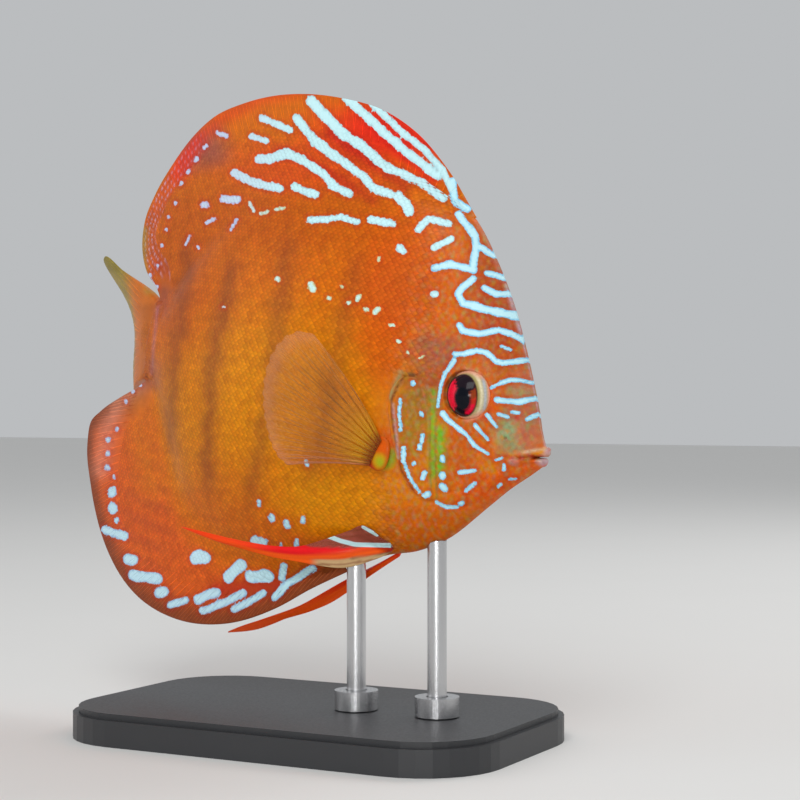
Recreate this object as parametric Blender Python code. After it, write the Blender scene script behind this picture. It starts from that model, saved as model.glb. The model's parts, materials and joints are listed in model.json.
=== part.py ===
"""Discus fish: a still, life-size display model on a flat base with two short rods.

Fish coordinates run s backwards from the snout tip, y to the fish's left and z up.
Every flesh part is a flat outline in s and z with a half thickness, bent and pitched
into the world, where the head points to +X and the right flank faces -Y.
"""
import bpy
import bmesh
import math
import numpy as np
from mathutils import Vector
from mathutils.geometry import delaunay_2d_cdt

# Driving dimensions, in metres and degrees
STANDARD_LENGTH = 0.134
CAUDAL_ROOT_HALF = 0.0019
FIN_EDGE_HALF = 0.00028
FIN_ROOT_HALF = 0.0011
NOSE_DOWN = math.radians(12.0)
TAIL_TURN = math.radians(28.5)
TURN_START = 0.030
TURN_END = 0.150
CAUDAL_TWIST = 12.0
CAUDAL_SWING = 4.0
CAUDAL_MIDDLE = 0.0022
CAUDAL_CUP = 3.8
CAUDAL_CUP_HEIGHT = 0.0035
CAUDAL_CUP_REACH = 0.012
PIVOT_S = 0.065
PIVOT_HEIGHT = 0.086
GAP = 0.0003
EYE_RADIUS = 0.0063
EYE_S = 0.0185
EYE_Z = 0.0107
EYE_SINK = 0.0034
GILL_COVER_THICKNESS = 0.0014
GILL_COVER_PROUD = 0.0002
BED_REACH = 0.0040
STEM_START = 0.1215
FIN_TAPER = 0.016
CAUDAL_TAPER = 0.030
DORSAL_ROOT = (0.0345, 0.1335)
ANAL_ROOT = (0.0475, 0.1335)
BASE_LENGTH = 0.118
BASE_WIDTH = 0.074
BASE_THICKNESS = 0.008
BASE_CORNER = 0.020
BASE_BEVEL = 0.0015
ROD_RADIUS = 0.0024
ROD_STATIONS = (0.0235, 0.0445)
ROD_REACH = 0.0045
CUTTER_END = 0.10
SOCKET_RADIUS = 0.0055
SOCKET_HEIGHT = 0.0050

# Stations of the body, each (s, value) in metres
BACK = ((0.0, 0.0018), (0.0018, 0.0048), (0.0046, 0.0115), (0.0088, 0.0205), (0.0143, 0.0312),
        (0.0225, 0.0436), (0.0300, 0.0522), (0.0400, 0.0574), (0.0550, 0.0602), (0.0720, 0.0592),
        (0.0900, 0.0540), (0.1060, 0.0440), (0.1190, 0.0300), (0.1280, 0.0182), (0.1340, 0.0140))
BELLY = ((0.0, -0.0030), (0.0020, -0.0051), (0.0070, -0.0100), (0.0120, -0.0158), (0.0200, -0.0250),
         (0.0280, -0.0305), (0.0360, -0.0336), (0.0450, -0.0385), (0.0600, -0.0460), (0.0750, -0.0490),
         (0.0900, -0.0470), (0.1060, -0.0390), (0.1190, -0.0235), (0.1280, -0.0125), (0.1340, -0.0088))
HALF_WIDTH = ((-0.0014, 0.0010), (-0.0007, 0.0018), (0.0, 0.0023), (0.0020, 0.0037), (0.0080, 0.0066),
              (0.0180, 0.0098), (0.0300, 0.0124), (0.0420, 0.0137), (0.0520, 0.0140), (0.0750, 0.0130),
              (0.0950, 0.0104), (0.1150, 0.0068), (0.1280, 0.0042), (0.1340, 0.0032))

# Outer edges of the fins, each (s, z)
DORSAL_EDGE = ((0.0295, 0.0523), (0.0395, 0.0624), (0.0500, 0.0700), (0.0600, 0.0740), (0.0750, 0.0757),
               (0.0950, 0.0745), (0.1120, 0.0706), (0.1240, 0.0664), (0.1340, 0.0602), (0.1435, 0.0515),
               (0.1510, 0.0425), (0.1548, 0.0345), (0.1540, 0.0275), (0.1490, 0.0210), (0.1405, 0.0170))
ANAL_EDGE = ((0.0465, -0.0406), (0.0560, -0.0475), (0.0660, -0.0555), (0.0780, -0.0625), (0.0920, -0.0670),
             (0.1060, -0.0685), (0.1210, -0.0674), (0.1360, -0.0630), (0.1495, -0.0555), (0.1605, -0.0450),
             (0.1675, -0.0345), (0.1680, -0.0275), (0.1625, -0.0230), (0.1520, -0.0172), (0.1410, -0.0120))
CAUDAL_EDGE = ((0.1343, 0.0132), (0.1430, 0.0158), (0.1600, 0.0190), (0.1730, 0.0213), (0.1768, 0.0195),
               (0.1758, 0.0120), (0.1745, 0.0020), (0.1752, -0.0090), (0.1750, -0.0165), (0.1710, -0.0190),
               (0.1600, -0.0160), (0.1440, -0.0110), (0.1343, -0.0084))

# Front outline of the lips round the mouth slit, each (s, z)
LIPS = ((0.0, 0.0018), (-0.0006, 0.0021), (-0.0011, 0.0018), (-0.0014, 0.0010), (-0.0013, 0.0003),
        (-0.0009, -0.0003), (0.0020, -0.0010), (-0.0006, -0.0007), (-0.0010, -0.0012), (-0.0011, -0.0020),
        (-0.0007, -0.0027), (0.0, -0.0030))
LIP_PAD = 0.0016

# Line between head and trunk, each (z, s)
NECK = ((-0.0290, 0.0250), (-0.0230, 0.0262), (-0.0180, 0.0284), (-0.0130, 0.0320), (-0.0060, 0.0356),
        (0.0000, 0.0375), (0.0060, 0.0387), (0.0115, 0.0376), (0.0180, 0.0347), (0.0330, 0.0322), (0.0540, 0.0322))

# Rear edge of the gill cover and the front edge of its plate, each (s, z)
GILL_REAR = ((0.0310, 0.0122), (0.0345, 0.0117), (0.0368, 0.0085), (0.0370, 0.0042), (0.0357, -0.0010),
             (0.0339, -0.0060), (0.0315, -0.0112), (0.0280, -0.0150), (0.0235, -0.0166))
GILL_FRONT = ((0.0235, -0.0166), (0.0243, -0.0115), (0.0251, -0.0040), (0.0262, 0.0030), (0.0282, 0.0095),
              (0.0310, 0.0122))

# Paired fins
PECTORAL_ROOT = (0.0380, -0.0078)
PECTORAL_TOP_RAY = 0.036
PECTORAL_LOW_RAY = 0.025
PECTORAL_ROOT_HALF_WIDTH = 0.0035
PECTORAL_LIFT = math.radians(16.5)
PECTORAL_SPREAD = math.radians(36.5)
PECTORAL_FLARE = {"right": math.radians(14.0), "left": math.radians(24.0)}
PECTORAL_STANDOFF = 0.0011
PECTORAL_ROOT_PAD = 0.0004
PECTORAL_PAD_LENGTH = 0.012
PELVIC_WIDTH = 0.0085
PELVIC_STREAMER = 0.0024
PELVIC_WEB_SHARE = 0.22
PELVIC_HALF = 0.0004
PELVIC_RIGHT = ((0.0335, -0.0020, -0.0322), (0.0440, -0.0085, -0.0363), (0.0580, -0.0135, -0.0392),
                (0.0740, -0.0175, -0.0412), (0.0895, -0.0200, -0.0418))
PELVIC_LEFT = ((0.0340, 0.0020, -0.0335), (0.0500, 0.0085, -0.0465), (0.0660, 0.0110, -0.0585),
               (0.0800, 0.0125, -0.0650), (0.0940, 0.0135, -0.0695))

# Mesh spacing of the outlines
BODY_STEP = 0.0050
HEAD_STEP = 0.0030
FIN_STEP = 0.0045
RIM_RINGS = (0.0006, 0.0020, 0.0042)

COLOURS = {
    "flesh": ((0.60, 0.16, 0.03), 0.42, 0.0),
    "fin": ((0.72, 0.10, 0.03), 0.40, 0.0),
    "clear_fin": ((0.66, 0.30, 0.10), 0.35, 0.0),
    "gill": ((0.50, 0.20, 0.03), 0.36, 0.0),
    "eye": ((0.45, 0.01, 0.02), 0.08, 0.0),
    "base": ((0.05, 0.05, 0.055), 0.45, 0.0),
    "steel": ((0.62, 0.62, 0.62), 0.30, 1.0),
}


def smooth_step(t):
    """Ease from 0 to 1 as t goes from 0 to 1."""
    t = np.clip(t, 0.0, 1.0)
    return t * t * (3.0 - 2.0 * t)


def hermite(stations, x):
    """Smooth curve through (x, value) stations with finite difference tangents."""
    xs = np.array([station[0] for station in stations])
    ys = np.array([station[1] for station in stations])
    slopes = np.gradient(ys, xs)
    x = np.clip(np.asarray(x, dtype=float), xs[0], xs[-1])
    k = np.clip(np.searchsorted(xs, x, side="right") - 1, 0, len(xs) - 2)
    width = xs[k + 1] - xs[k]
    t = (x - xs[k]) / width
    start = ys[k] * (1 + 2 * t) * (1 - t) ** 2 + slopes[k] * width * t * (1 - t) ** 2
    end = ys[k + 1] * t * t * (3 - 2 * t) + slopes[k + 1] * width * t * t * (t - 1)
    return start + end


def smooth_path(points, count):
    """Even points along a smooth curve through the given points of any dimension."""
    pts = np.array(points)
    chord = np.concatenate([[0.0], np.cumsum(np.linalg.norm(np.diff(pts, axis=0), axis=1))])
    fine = np.linspace(0.0, chord[-1], 40 * len(pts))
    curve = np.stack([hermite(list(zip(chord, pts[:, axis])), fine) for axis in range(pts.shape[1])], 1)
    run = np.concatenate([[0.0], np.cumsum(np.linalg.norm(np.diff(curve, axis=0), axis=1))])
    even = np.linspace(0.0, run[-1], count)
    return np.stack([np.interp(even, run, curve[:, axis]) for axis in range(pts.shape[1])], 1)


def body_half(s, z):
    """Half thickness of the body at s, z: a lens that is rounder at the head."""
    lips = LIP_PAD * smooth_step((0.0004 - s) / 0.0007)
    top = hermite(BACK, s) + lips
    low = hermite(BELLY, s) - lips
    across = np.clip(np.abs((z - 0.5 * (top + low)) / (0.5 * (top - low))), 0.0, 1.0)
    power = 0.52 + 0.20 * smooth_step((s - 0.02) / 0.05)
    return hermite(HALF_WIDTH, s) * (1.0 - across ** 2.1) ** power


def spine_table():
    """Stations of s with the turned centre line and its heading."""
    s = np.linspace(-0.02, 0.24, 2601)
    heading = TAIL_TURN * smooth_step((s - TURN_START) / (TURN_END - TURN_START))
    step = s[1] - s[0]
    x = -np.concatenate([[0.0], np.cumsum(np.cos(heading[:-1]) * step)])
    y = np.concatenate([[0.0], np.cumsum(np.sin(heading[:-1]) * step)])
    x -= np.interp(PIVOT_S, s, x)
    y -= np.interp(PIVOT_S, s, y)
    return s, x, y, heading


SPINE = spine_table()


def place(points):
    """World position of fish coordinates (s, y, z): tail turned, nose down, lifted."""
    s, side, z = np.asarray(points, dtype=float).T
    heading = np.interp(s, SPINE[0], SPINE[3])
    x = np.interp(s, SPINE[0], SPINE[1]) + side * np.sin(heading)
    across = np.interp(s, SPINE[0], SPINE[2]) + side * np.cos(heading)
    cos_p, sin_p = math.cos(NOSE_DOWN), math.sin(NOSE_DOWN)
    return np.stack([x * cos_p + z * sin_p, across, z * cos_p - x * sin_p + PIVOT_HEIGHT], 1)


def inside(polygon, points):
    """Which points lie inside a closed polygon."""
    hits = np.zeros(len(points), dtype=bool)
    x, y = points[:, 0], points[:, 1]
    for (x1, y1), (x2, y2) in zip(polygon, np.roll(polygon, -1, axis=0)):
        crosses = (y1 > y) != (y2 > y)
        if y1 != y2:
            hits ^= crosses & (x < (x2 - x1) * (y - y1) / (y2 - y1) + x1)
    return hits


def edge_distance(polygon, points):
    """Distance from each point to the nearest side of a closed polygon."""
    best = np.full(len(points), np.inf)
    for start, end in zip(polygon, np.roll(polygon, -1, axis=0)):
        side = end - start
        t = np.clip(((points - start) @ side) / max(side @ side, 1e-18), 0.0, 1.0)
        best = np.minimum(best, np.linalg.norm(points - start - t[:, None] * side, axis=1))
    return best


def shifted(polygon, distance):
    """Closed outline with its vertices moved inwards by a distance along their normals."""
    ahead = np.roll(polygon, -1, axis=0) - np.roll(polygon, 1, axis=0)
    area = np.sum(polygon[:, 0] * np.roll(polygon[:, 1], -1) - polygon[:, 1] * np.roll(polygon[:, 0], -1))
    normal = np.stack([-ahead[:, 1], ahead[:, 0]], 1) * np.sign(area)
    return polygon + distance * normal / np.linalg.norm(normal, axis=1)[:, None]


def inset(polygon, distance):
    """Points a distance inside a closed outline, kept where they stay clear of its other sides."""
    moved = shifted(polygon, distance)
    return moved[inside(polygon, moved) & (edge_distance(polygon, moved) > 0.9 * distance)]


def staggered_grid(polygon, step, clearance):
    """Points of a staggered grid inside a closed outline, clear of its sides."""
    low, high = polygon.min(axis=0), polygon.max(axis=0)
    rows = []
    for number, height in enumerate(np.arange(low[1], high[1], step * math.sqrt(0.75))):
        along = np.arange(low[0] + (number % 2) * step / 2, high[0], step)
        rows.append(np.stack([along, np.full(len(along), height)], 1))
    grid = np.concatenate(rows)
    grid = grid[inside(polygon, grid)]
    return grid[edge_distance(polygon, grid) > clearance]


def fill_points(polygon, step, rings):
    """Outline points, rings that follow the rim and a staggered grid inside."""
    parts = [polygon]
    for number, distance in enumerate(rings):
        parts.append(inset(polygon, distance)[::1 + number])
    clearance = (rings[-1] if rings else 0.0) + 0.45 * step
    parts.append(staggered_grid(polygon, step, clearance))
    return np.concatenate(parts)


def material(kind):
    """Principled material of a named finish."""
    colour, roughness, metallic = COLOURS[kind]
    mat = bpy.data.materials.new(kind)
    mat.use_nodes = True
    shader = mat.node_tree.nodes["Principled BSDF"]
    shader.inputs["Base Color"].default_value = (*colour, 1.0)
    shader.inputs["Roughness"].default_value = roughness
    shader.inputs["Metallic"].default_value = metallic
    mat.diffuse_color = (*colour, 1.0)
    return mat


def add_object(name, mesh, kind):
    """Link a mesh as a named object with its own material."""
    obj = bpy.data.objects.new(name, mesh)
    bpy.context.scene.collection.objects.link(obj)
    mesh.materials.clear()
    mesh.materials.append(material(kind))
    return obj


def slab(name, polygon, step, rings, near, far, kind):
    """Closed solid over a flat outline between two surfaces given as functions of the points."""
    polygon = np.asarray(polygon)
    points = fill_points(polygon, step, rings)
    sides = [(k, (k + 1) % len(polygon)) for k in range(len(polygon))]
    result = delaunay_2d_cdt([Vector(p) for p in points], sides, [], 1, 1e-7)
    flat = np.array([tuple(p) for p in result[0]])
    faces = [tuple(face) for face in result[2]]
    count = len(flat)
    coords = np.concatenate([place(near(flat)), place(far(flat))])
    edges = {(a, b) for face in faces for a, b in zip(face, face[1:] + face[:1])}
    walls = [(b, a, count + a, count + b) for a, b in sorted(edges) if (b, a) not in edges]
    far_faces = [tuple(count + corner for corner in reversed(face)) for face in faces]
    mesh = bpy.data.meshes.new(name)
    mesh.from_pydata([tuple(p) for p in coords], [], faces + far_faces + walls)
    mesh.update()
    bm = bmesh.new()
    bm.from_mesh(mesh)
    bmesh.ops.triangulate(bm, faces=bm.faces)
    bmesh.ops.recalc_face_normals(bm, faces=bm.faces)
    bm.to_mesh(mesh)
    bm.free()
    mesh.shade_smooth()
    mesh.set_sharp_from_angle(angle=math.radians(40))
    return add_object(name, mesh, kind)


def mirrored(half, edge=FIN_EDGE_HALF):
    """Right and left surfaces of a part that is even about the fish's middle."""
    def right(flat):
        return np.stack([flat[:, 0], -np.maximum(half(flat), edge), flat[:, 1]], 1)

    def left(flat):
        return np.stack([flat[:, 0], np.maximum(half(flat), edge), flat[:, 1]], 1)
    return right, left


def body_surface(flat):
    """Half thickness of the body for flat points."""
    return body_half(flat[:, 0], flat[:, 1])


def between(front, rear, count=34):
    """Closed body outline between two cutting lines, each a list of (s, z) from top to belly."""
    front, rear = np.array(front), np.array(rear)
    top = np.linspace(front[0][0], rear[0][0], count)
    low = np.linspace(rear[-1][0], front[-1][0], count)
    back = np.stack([top, hermite(BACK, top)], 1)
    belly = np.stack([low, hermite(BELLY, low)], 1)
    return np.concatenate([back, rear[1:-1], belly, front[::-1][1:-1]])


def neck_line(shift, count=11):
    """Line from the nape down behind the gill cover to the throat, moved back by a shift."""
    ends = []
    for profile, height in ((BACK, NECK[-1][0]), (BELLY, NECK[0][0])):
        for _ in range(30):
            height = float(hermite(profile, hermite(NECK, height) + shift))
        ends.append(height)
    heights = np.linspace(ends[0], ends[1], count)
    return np.stack([hermite(NECK, heights) + shift, heights], 1)


def straight_line(s, count=7):
    """Straight cut across the body at s, top to belly."""
    heights = np.linspace(hermite(BACK, s), hermite(BELLY, s), count)
    return np.stack([np.full(count, s), heights], 1)


def cut(obj, cutter):
    """Subtract a cutter with the exact solver and remove it."""
    modifier = obj.modifiers.new("cut", "BOOLEAN")
    modifier.operation = "DIFFERENCE"
    modifier.solver = "EXACT"
    modifier.object = cutter
    evaluated = obj.evaluated_get(bpy.context.evaluated_depsgraph_get())
    mesh = bpy.data.meshes.new_from_object(evaluated)
    obj.modifiers.clear()
    obj.data = mesh
    bpy.data.objects.remove(cutter)


def ball(name, centre, radius, kind, segments=20, rings=12):
    """Smooth round ball."""
    bm = bmesh.new()
    bmesh.ops.create_uvsphere(bm, u_segments=segments, v_segments=rings, radius=radius)
    bmesh.ops.translate(bm, verts=bm.verts, vec=Vector(centre))
    bmesh.ops.triangulate(bm, faces=bm.faces)
    mesh = bpy.data.meshes.new(name)
    bm.to_mesh(mesh)
    bm.free()
    mesh.shade_smooth()
    return add_object(name, mesh, kind)


def eye_centre(side):
    """World centre of an eye, sunk under the cheek."""
    y = side * (float(body_half(np.array([EYE_S]), np.array([EYE_Z]))[0]) - EYE_SINK)
    return place([(EYE_S, y, EYE_Z)])[0]


def gill_outline(grow):
    """Closed outline of a gill cover, grown outwards by a distance."""
    rear = smooth_path(GILL_REAR, 18)
    front = smooth_path(GILL_FRONT, 12)
    return shifted(np.concatenate([rear, front[1:-1]]), -grow)


def gill_surfaces(side, inner, outer):
    """Inner and outer surface of a gill plate on one side of the head."""
    def near(flat):
        return np.stack([flat[:, 0], side * (body_surface(flat) + outer), flat[:, 1]], 1)

    def far(flat):
        return np.stack([flat[:, 0], side * (body_surface(flat) - inner), flat[:, 1]], 1)
    return near, far


def build_head():
    """Head with eye sockets, beds for the gill covers and the eyes and gill covers themselves."""
    right, left = mirrored(body_surface)
    outline = between(LIPS, neck_line(0.0))
    head = slab("head", outline, HEAD_STEP, RIM_RINGS, right, left, "flesh")
    for side, word in ((-1, "right"), (1, "left")):
        near, far = gill_surfaces(side, GILL_COVER_THICKNESS + 2 * GAP, BED_REACH)
        cut(head, slab("bed", gill_outline(2 * GAP), HEAD_STEP, (), near, far, "gill"))
        near, far = gill_surfaces(side, GILL_COVER_THICKNESS, GILL_COVER_PROUD)
        slab("gill_cover_" + word, gill_outline(0.0), HEAD_STEP, (), near, far, "gill")
        cut(head, ball("socket", eye_centre(side), EYE_RADIUS + GAP, "eye"))
        ball("eye_" + word, eye_centre(side), EYE_RADIUS, "eye")


def build_trunk_and_tail():
    """Trunk from the gill openings to the tail stem, and the tail stem."""
    right, left = mirrored(body_surface)
    trunk = between(neck_line(GAP), straight_line(STEM_START - GAP), 60)
    slab("trunk", trunk, BODY_STEP, RIM_RINGS, right, left, "flesh")
    stem = between(straight_line(STEM_START), straight_line(STANDARD_LENGTH), 8)
    slab("tail_stem", stem, HEAD_STEP, RIM_RINGS[:2], right, left, "flesh")


def fin_half(edge_points):
    """Half thickness of a median fin that thins from its root to its edge."""
    edge = smooth_path(edge_points, 60)

    def half(flat):
        gap = np.min(np.linalg.norm(flat[:, None, :] - edge[None, :, :], axis=2), axis=1)
        return FIN_EDGE_HALF + (FIN_ROOT_HALF - FIN_EDGE_HALF) * smooth_step(gap / FIN_TAPER)
    return half


def fin_outline(edge, stations, profile, sign, count=54):
    """Closed outline between a fin's outer edge and the body just under it."""
    outer = smooth_path(edge, count)
    base = np.linspace(stations[1], stations[0], count * 2 // 3)
    clear = hermite(profile, base) + sign * GAP
    return np.concatenate([outer, np.stack([base, clear], 1)])


def build_median_fins():
    """Dorsal, anal and caudal fins in the fish's middle plane."""
    dorsal = fin_outline(DORSAL_EDGE, DORSAL_ROOT, BACK, 1)
    slab("dorsal_fin", dorsal, FIN_STEP, (), *mirrored(fin_half(DORSAL_EDGE)), "fin")
    anal = fin_outline(ANAL_EDGE, ANAL_ROOT, BELLY, -1)
    slab("anal_fin", anal, FIN_STEP, (), *mirrored(fin_half(ANAL_EDGE)), "fin")
    caudal = smooth_path(CAUDAL_EDGE, 56)

    def caudal_half(flat):
        fade = smooth_step((flat[:, 0] - STANDARD_LENGTH) / CAUDAL_TAPER)
        return CAUDAL_ROOT_HALF * (1 - fade) + FIN_EDGE_HALF * fade

    def surface(side):
        def points(flat):
            run = np.clip(flat[:, 0] - STANDARD_LENGTH, 0.0, None)
            middle = CAUDAL_SWING * run ** 2 - CAUDAL_TWIST * run * (flat[:, 1] - CAUDAL_MIDDLE)
            cup = np.exp(-((flat[:, 1] - CAUDAL_CUP_HEIGHT) / CAUDAL_CUP_REACH) ** 2)
            middle = middle + CAUDAL_CUP * run ** 2 * cup
            return np.stack([flat[:, 0], middle + side * caudal_half(flat), flat[:, 1]], 1)
        return points
    slab("caudal_fin", caudal, FIN_STEP, (), surface(-1), surface(1), "clear_fin")


def pectoral_outline(count=22):
    """Fan outline in the fin's own plane, root at the origin, spreading along +u."""
    turns = np.linspace(PECTORAL_SPREAD, -PECTORAL_SPREAD, count)
    rise = 0.5 + 0.5 * turns / PECTORAL_SPREAD
    reach = PECTORAL_LOW_RAY + (PECTORAL_TOP_RAY - PECTORAL_LOW_RAY) * smooth_step(rise)
    reach *= 1.0 - 0.12 * np.clip(np.abs(turns) / PECTORAL_SPREAD, 0.0, 1.0) ** 6
    rim = np.stack([reach * np.cos(turns), reach * np.sin(turns)], 1)
    root = np.array(((0.0, -PECTORAL_ROOT_HALF_WIDTH), (0.0, 0.0), (0.0, PECTORAL_ROOT_HALF_WIDTH)))
    return np.concatenate([root, rim])


def build_pectoral(side, word):
    """Fan of one pectoral fin, held a little off the flank."""
    s, z = PECTORAL_ROOT
    y = float(body_half(np.array([s]), np.array([z]))[0]) + PECTORAL_STANDOFF
    flare = PECTORAL_FLARE[word]
    along = np.array((math.cos(PECTORAL_LIFT) * math.cos(flare), side * math.sin(flare),
                      math.sin(PECTORAL_LIFT) * math.cos(flare)))
    across = np.array((-math.sin(PECTORAL_LIFT), 0.0, math.cos(PECTORAL_LIFT)))
    out = np.cross(across, along) * side
    out *= np.sign(out[1]) * side
    root = np.array((s, side * y, z))

    def surface(offset):
        def points(flat):
            thick = FIN_EDGE_HALF + PECTORAL_ROOT_PAD * (1 - smooth_step(flat[:, 0] / PECTORAL_PAD_LENGTH))
            return (root + flat[:, :1] * along + flat[:, 1:] * across
                    + (offset * thick)[:, None] * out)
        return points
    slab("pectoral_fin_" + word, pectoral_outline(), FIN_STEP, (), surface(1), surface(-1), "clear_fin")


def build_pelvic(path, word, side):
    """Trailing pelvic fin: a membrane at the root that runs out into a long streamer."""
    route = smooth_path(path, 24)
    length = np.linspace(0.0, 1.0, len(route))
    web = (PELVIC_WIDTH - PELVIC_STREAMER) * np.exp(-(length / PELVIC_WEB_SHARE) ** 2)
    opening = 0.35 + 0.65 * smooth_step(length / 0.12)
    tip = 1.0 - 0.6 * smooth_step((length - 0.75) / 0.25)
    width = (PELVIC_STREAMER + web) * opening * tip
    lower = np.stack([length, np.zeros_like(length)], 1)
    upper = np.stack([length[::-1], width[::-1]], 1)
    scale = np.linalg.norm(np.diff(route, axis=0), axis=1).sum()
    outline = np.concatenate([lower, upper]) * np.array((scale, 1.0))

    def surface(offset):
        def points(flat):
            t = flat[:, 0] / scale
            centre = np.stack([np.interp(t, length, route[:, axis]) for axis in range(3)], 1)
            centre[:, 2] += flat[:, 1]
            clear = body_half(centre[:, 0], centre[:, 2]) + 2 * GAP + PELVIC_HALF
            centre[:, 1] = side * (np.maximum(np.abs(centre[:, 1]), clear) + offset * PELVIC_HALF)
            return centre
        return points
    slab("pelvic_fin_" + word, outline, FIN_STEP, (), surface(1), surface(-1), "fin")


def rounded_rectangle(length, width, corner, steps=8):
    """Outline of a rectangle with round corners."""
    points = []
    for quarter, (sx, sy) in enumerate(((1, 1), (-1, 1), (-1, -1), (1, -1))):
        for k in range(steps + 1):
            turn = (quarter + k / steps) * math.pi / 2
            points.append((sx * (length / 2 - corner) + corner * math.cos(turn),
                           sy * (width / 2 - corner) + corner * math.sin(turn)))
    return points


def build_base():
    """Flat base with round corners and a bevelled top edge."""
    bm = bmesh.new()
    verts = [bm.verts.new((x, y, 0.0)) for x, y in rounded_rectangle(BASE_LENGTH, BASE_WIDTH, BASE_CORNER)]
    bottom = bm.faces.new(verts)
    lifted = bmesh.ops.extrude_face_region(bm, geom=[bottom])
    top_verts = [item for item in lifted["geom"] if isinstance(item, bmesh.types.BMVert)]
    bmesh.ops.translate(bm, verts=top_verts, vec=(0.0, 0.0, BASE_THICKNESS))
    rim = [edge for edge in bm.edges if all(vert in top_verts for vert in edge.verts)]
    bmesh.ops.bevel(bm, geom=rim, offset=BASE_BEVEL, segments=2, affect="EDGES")
    bmesh.ops.recalc_face_normals(bm, faces=bm.faces)
    mesh = bpy.data.meshes.new("stand_base")
    bm.to_mesh(mesh)
    bm.free()
    return add_object("stand_base", mesh, "base")


def upright(name, x, y, low, high, radius, kind, segments=40):
    """Upright round bar between two heights."""
    bm = bmesh.new()
    bmesh.ops.create_cone(bm, cap_ends=True, segments=segments, radius1=radius, radius2=radius,
                          depth=high - low)
    bmesh.ops.translate(bm, verts=bm.verts, vec=(x, y, 0.5 * (low + high)))
    mesh = bpy.data.meshes.new(name)
    bm.to_mesh(mesh)
    bm.free()
    mesh.shade_smooth()
    mesh.set_sharp_from_angle(angle=math.radians(40))
    return add_object(name, mesh, kind)


def body_cutter():
    """Whole body grown by the gap, for the seats at the rods' upper ends."""
    top = np.linspace(0.0, CUTTER_END, 60)
    low = top[::-1]
    outline = np.concatenate([np.stack([top, hermite(BACK, top) + GAP], 1),
                              np.stack([low, hermite(BELLY, low) - GAP], 1)])

    def half(flat):
        return body_half(flat[:, 0], flat[:, 1]) + GAP
    return slab("cutter", outline, BODY_STEP, RIM_RINGS, *mirrored(half), "flesh")


def build_stand():
    """Flat base, two rods up to the belly and a socket ring round each rod's foot."""
    build_base()
    for number, s in enumerate(ROD_STATIONS, start=1):
        x, y, belly = place([(s, 0.0, float(hermite(BELLY, s)))])[0]
        rod = upright("stand_rod_%d" % number, x, y, BASE_THICKNESS + GAP, belly + ROD_REACH,
                      ROD_RADIUS, "steel")
        cut(rod, body_cutter())
        ring = upright("stand_socket_%d" % number, x, y, BASE_THICKNESS + GAP,
                       BASE_THICKNESS + SOCKET_HEIGHT, SOCKET_RADIUS, "steel", 48)
        bore = upright("bore", x, y, 0.0, 3 * SOCKET_HEIGHT, ROD_RADIUS + GAP, "steel")
        cut(ring, bore)


def main():
    """Clear the scene and build the fish and its stand."""
    for obj in list(bpy.data.objects):
        bpy.data.objects.remove(obj, do_unlink=True)
    build_head()
    build_trunk_and_tail()
    build_median_fins()
    for side, word, path in ((-1, "right", PELVIC_RIGHT), (1, "left", PELVIC_LEFT)):
        build_pectoral(side, word)
        build_pelvic(path, word, side)
    build_stand()


main()
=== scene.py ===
"""Discus fish display model: skin, scale coat, eyes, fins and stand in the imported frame.

Fish coordinates are (s, y, z): s runs back from the tip of the snout, y to the fish's left and z up,
all in metres. The flat plan is (s, z), the fish's outline seen square from the side.
"""

import json
import logging
import math
from collections.abc import Iterator, Sequence
from contextlib import contextmanager
from dataclasses import dataclass, field
from enum import Enum

import bmesh
import bpy
import numpy as np
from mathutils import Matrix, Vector
from mathutils.geometry import delaunay_2d_cdt
from mathutils.kdtree import KDTree

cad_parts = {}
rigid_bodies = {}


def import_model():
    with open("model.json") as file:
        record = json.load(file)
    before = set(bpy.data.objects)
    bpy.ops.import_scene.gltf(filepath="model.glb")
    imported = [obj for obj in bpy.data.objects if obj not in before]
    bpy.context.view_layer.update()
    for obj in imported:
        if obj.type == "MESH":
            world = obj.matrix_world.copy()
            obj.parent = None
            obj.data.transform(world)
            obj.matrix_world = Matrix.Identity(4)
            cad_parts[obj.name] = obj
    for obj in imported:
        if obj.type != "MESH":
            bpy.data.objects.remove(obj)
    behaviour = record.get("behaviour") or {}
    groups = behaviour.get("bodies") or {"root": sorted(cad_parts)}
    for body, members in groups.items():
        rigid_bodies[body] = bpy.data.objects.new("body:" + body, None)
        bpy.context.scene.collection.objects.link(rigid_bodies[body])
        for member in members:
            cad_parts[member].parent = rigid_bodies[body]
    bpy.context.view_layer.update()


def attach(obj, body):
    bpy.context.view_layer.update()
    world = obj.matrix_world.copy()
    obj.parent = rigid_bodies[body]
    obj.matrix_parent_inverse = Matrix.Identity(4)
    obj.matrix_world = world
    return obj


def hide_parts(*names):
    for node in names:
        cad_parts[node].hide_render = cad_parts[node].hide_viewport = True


Array = np.ndarray
Points = Sequence[tuple[float, ...]]
Material = bpy.types.Material
Mesh = bpy.types.Mesh
Node = bpy.types.Node
Piece = bpy.types.Object
Socket = bpy.types.NodeSocket
Tree = bpy.types.NodeTree
LOG = logging.getLogger("discus")
MM = 0.001


def pairs(row: Sequence[float], size: int = 2) -> Points:
    """Points from a plain row of their coordinates."""
    return tuple(tuple(row[k:k + size]) for k in range(0, len(row), size))


def tenths(*row: int, size: int = 2) -> Points:
    """Points from a row of their coordinates in tenths of a millimetre."""
    return pairs([part / 10000 for part in row], size)


def edge_heights(*row: int) -> Points:
    """Stations from a row of percent of a length and heights in tenths of a millimetre."""
    return tuple((share / 100, height / 10000) for share, height in pairs(row))


def smooth_step(t: Array | float) -> Array:
    """Ease from 0 to 1 as t goes from 0 to 1."""
    t = np.clip(t, 0.0, 1.0)
    return t * t * (3.0 - 2.0 * t)


def rise(x: Array | float, start: Array | float, width: float) -> Array:
    """Ease from 0 to 1 as x passes from the start over a width."""
    return smooth_step((x - start) / width)


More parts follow.
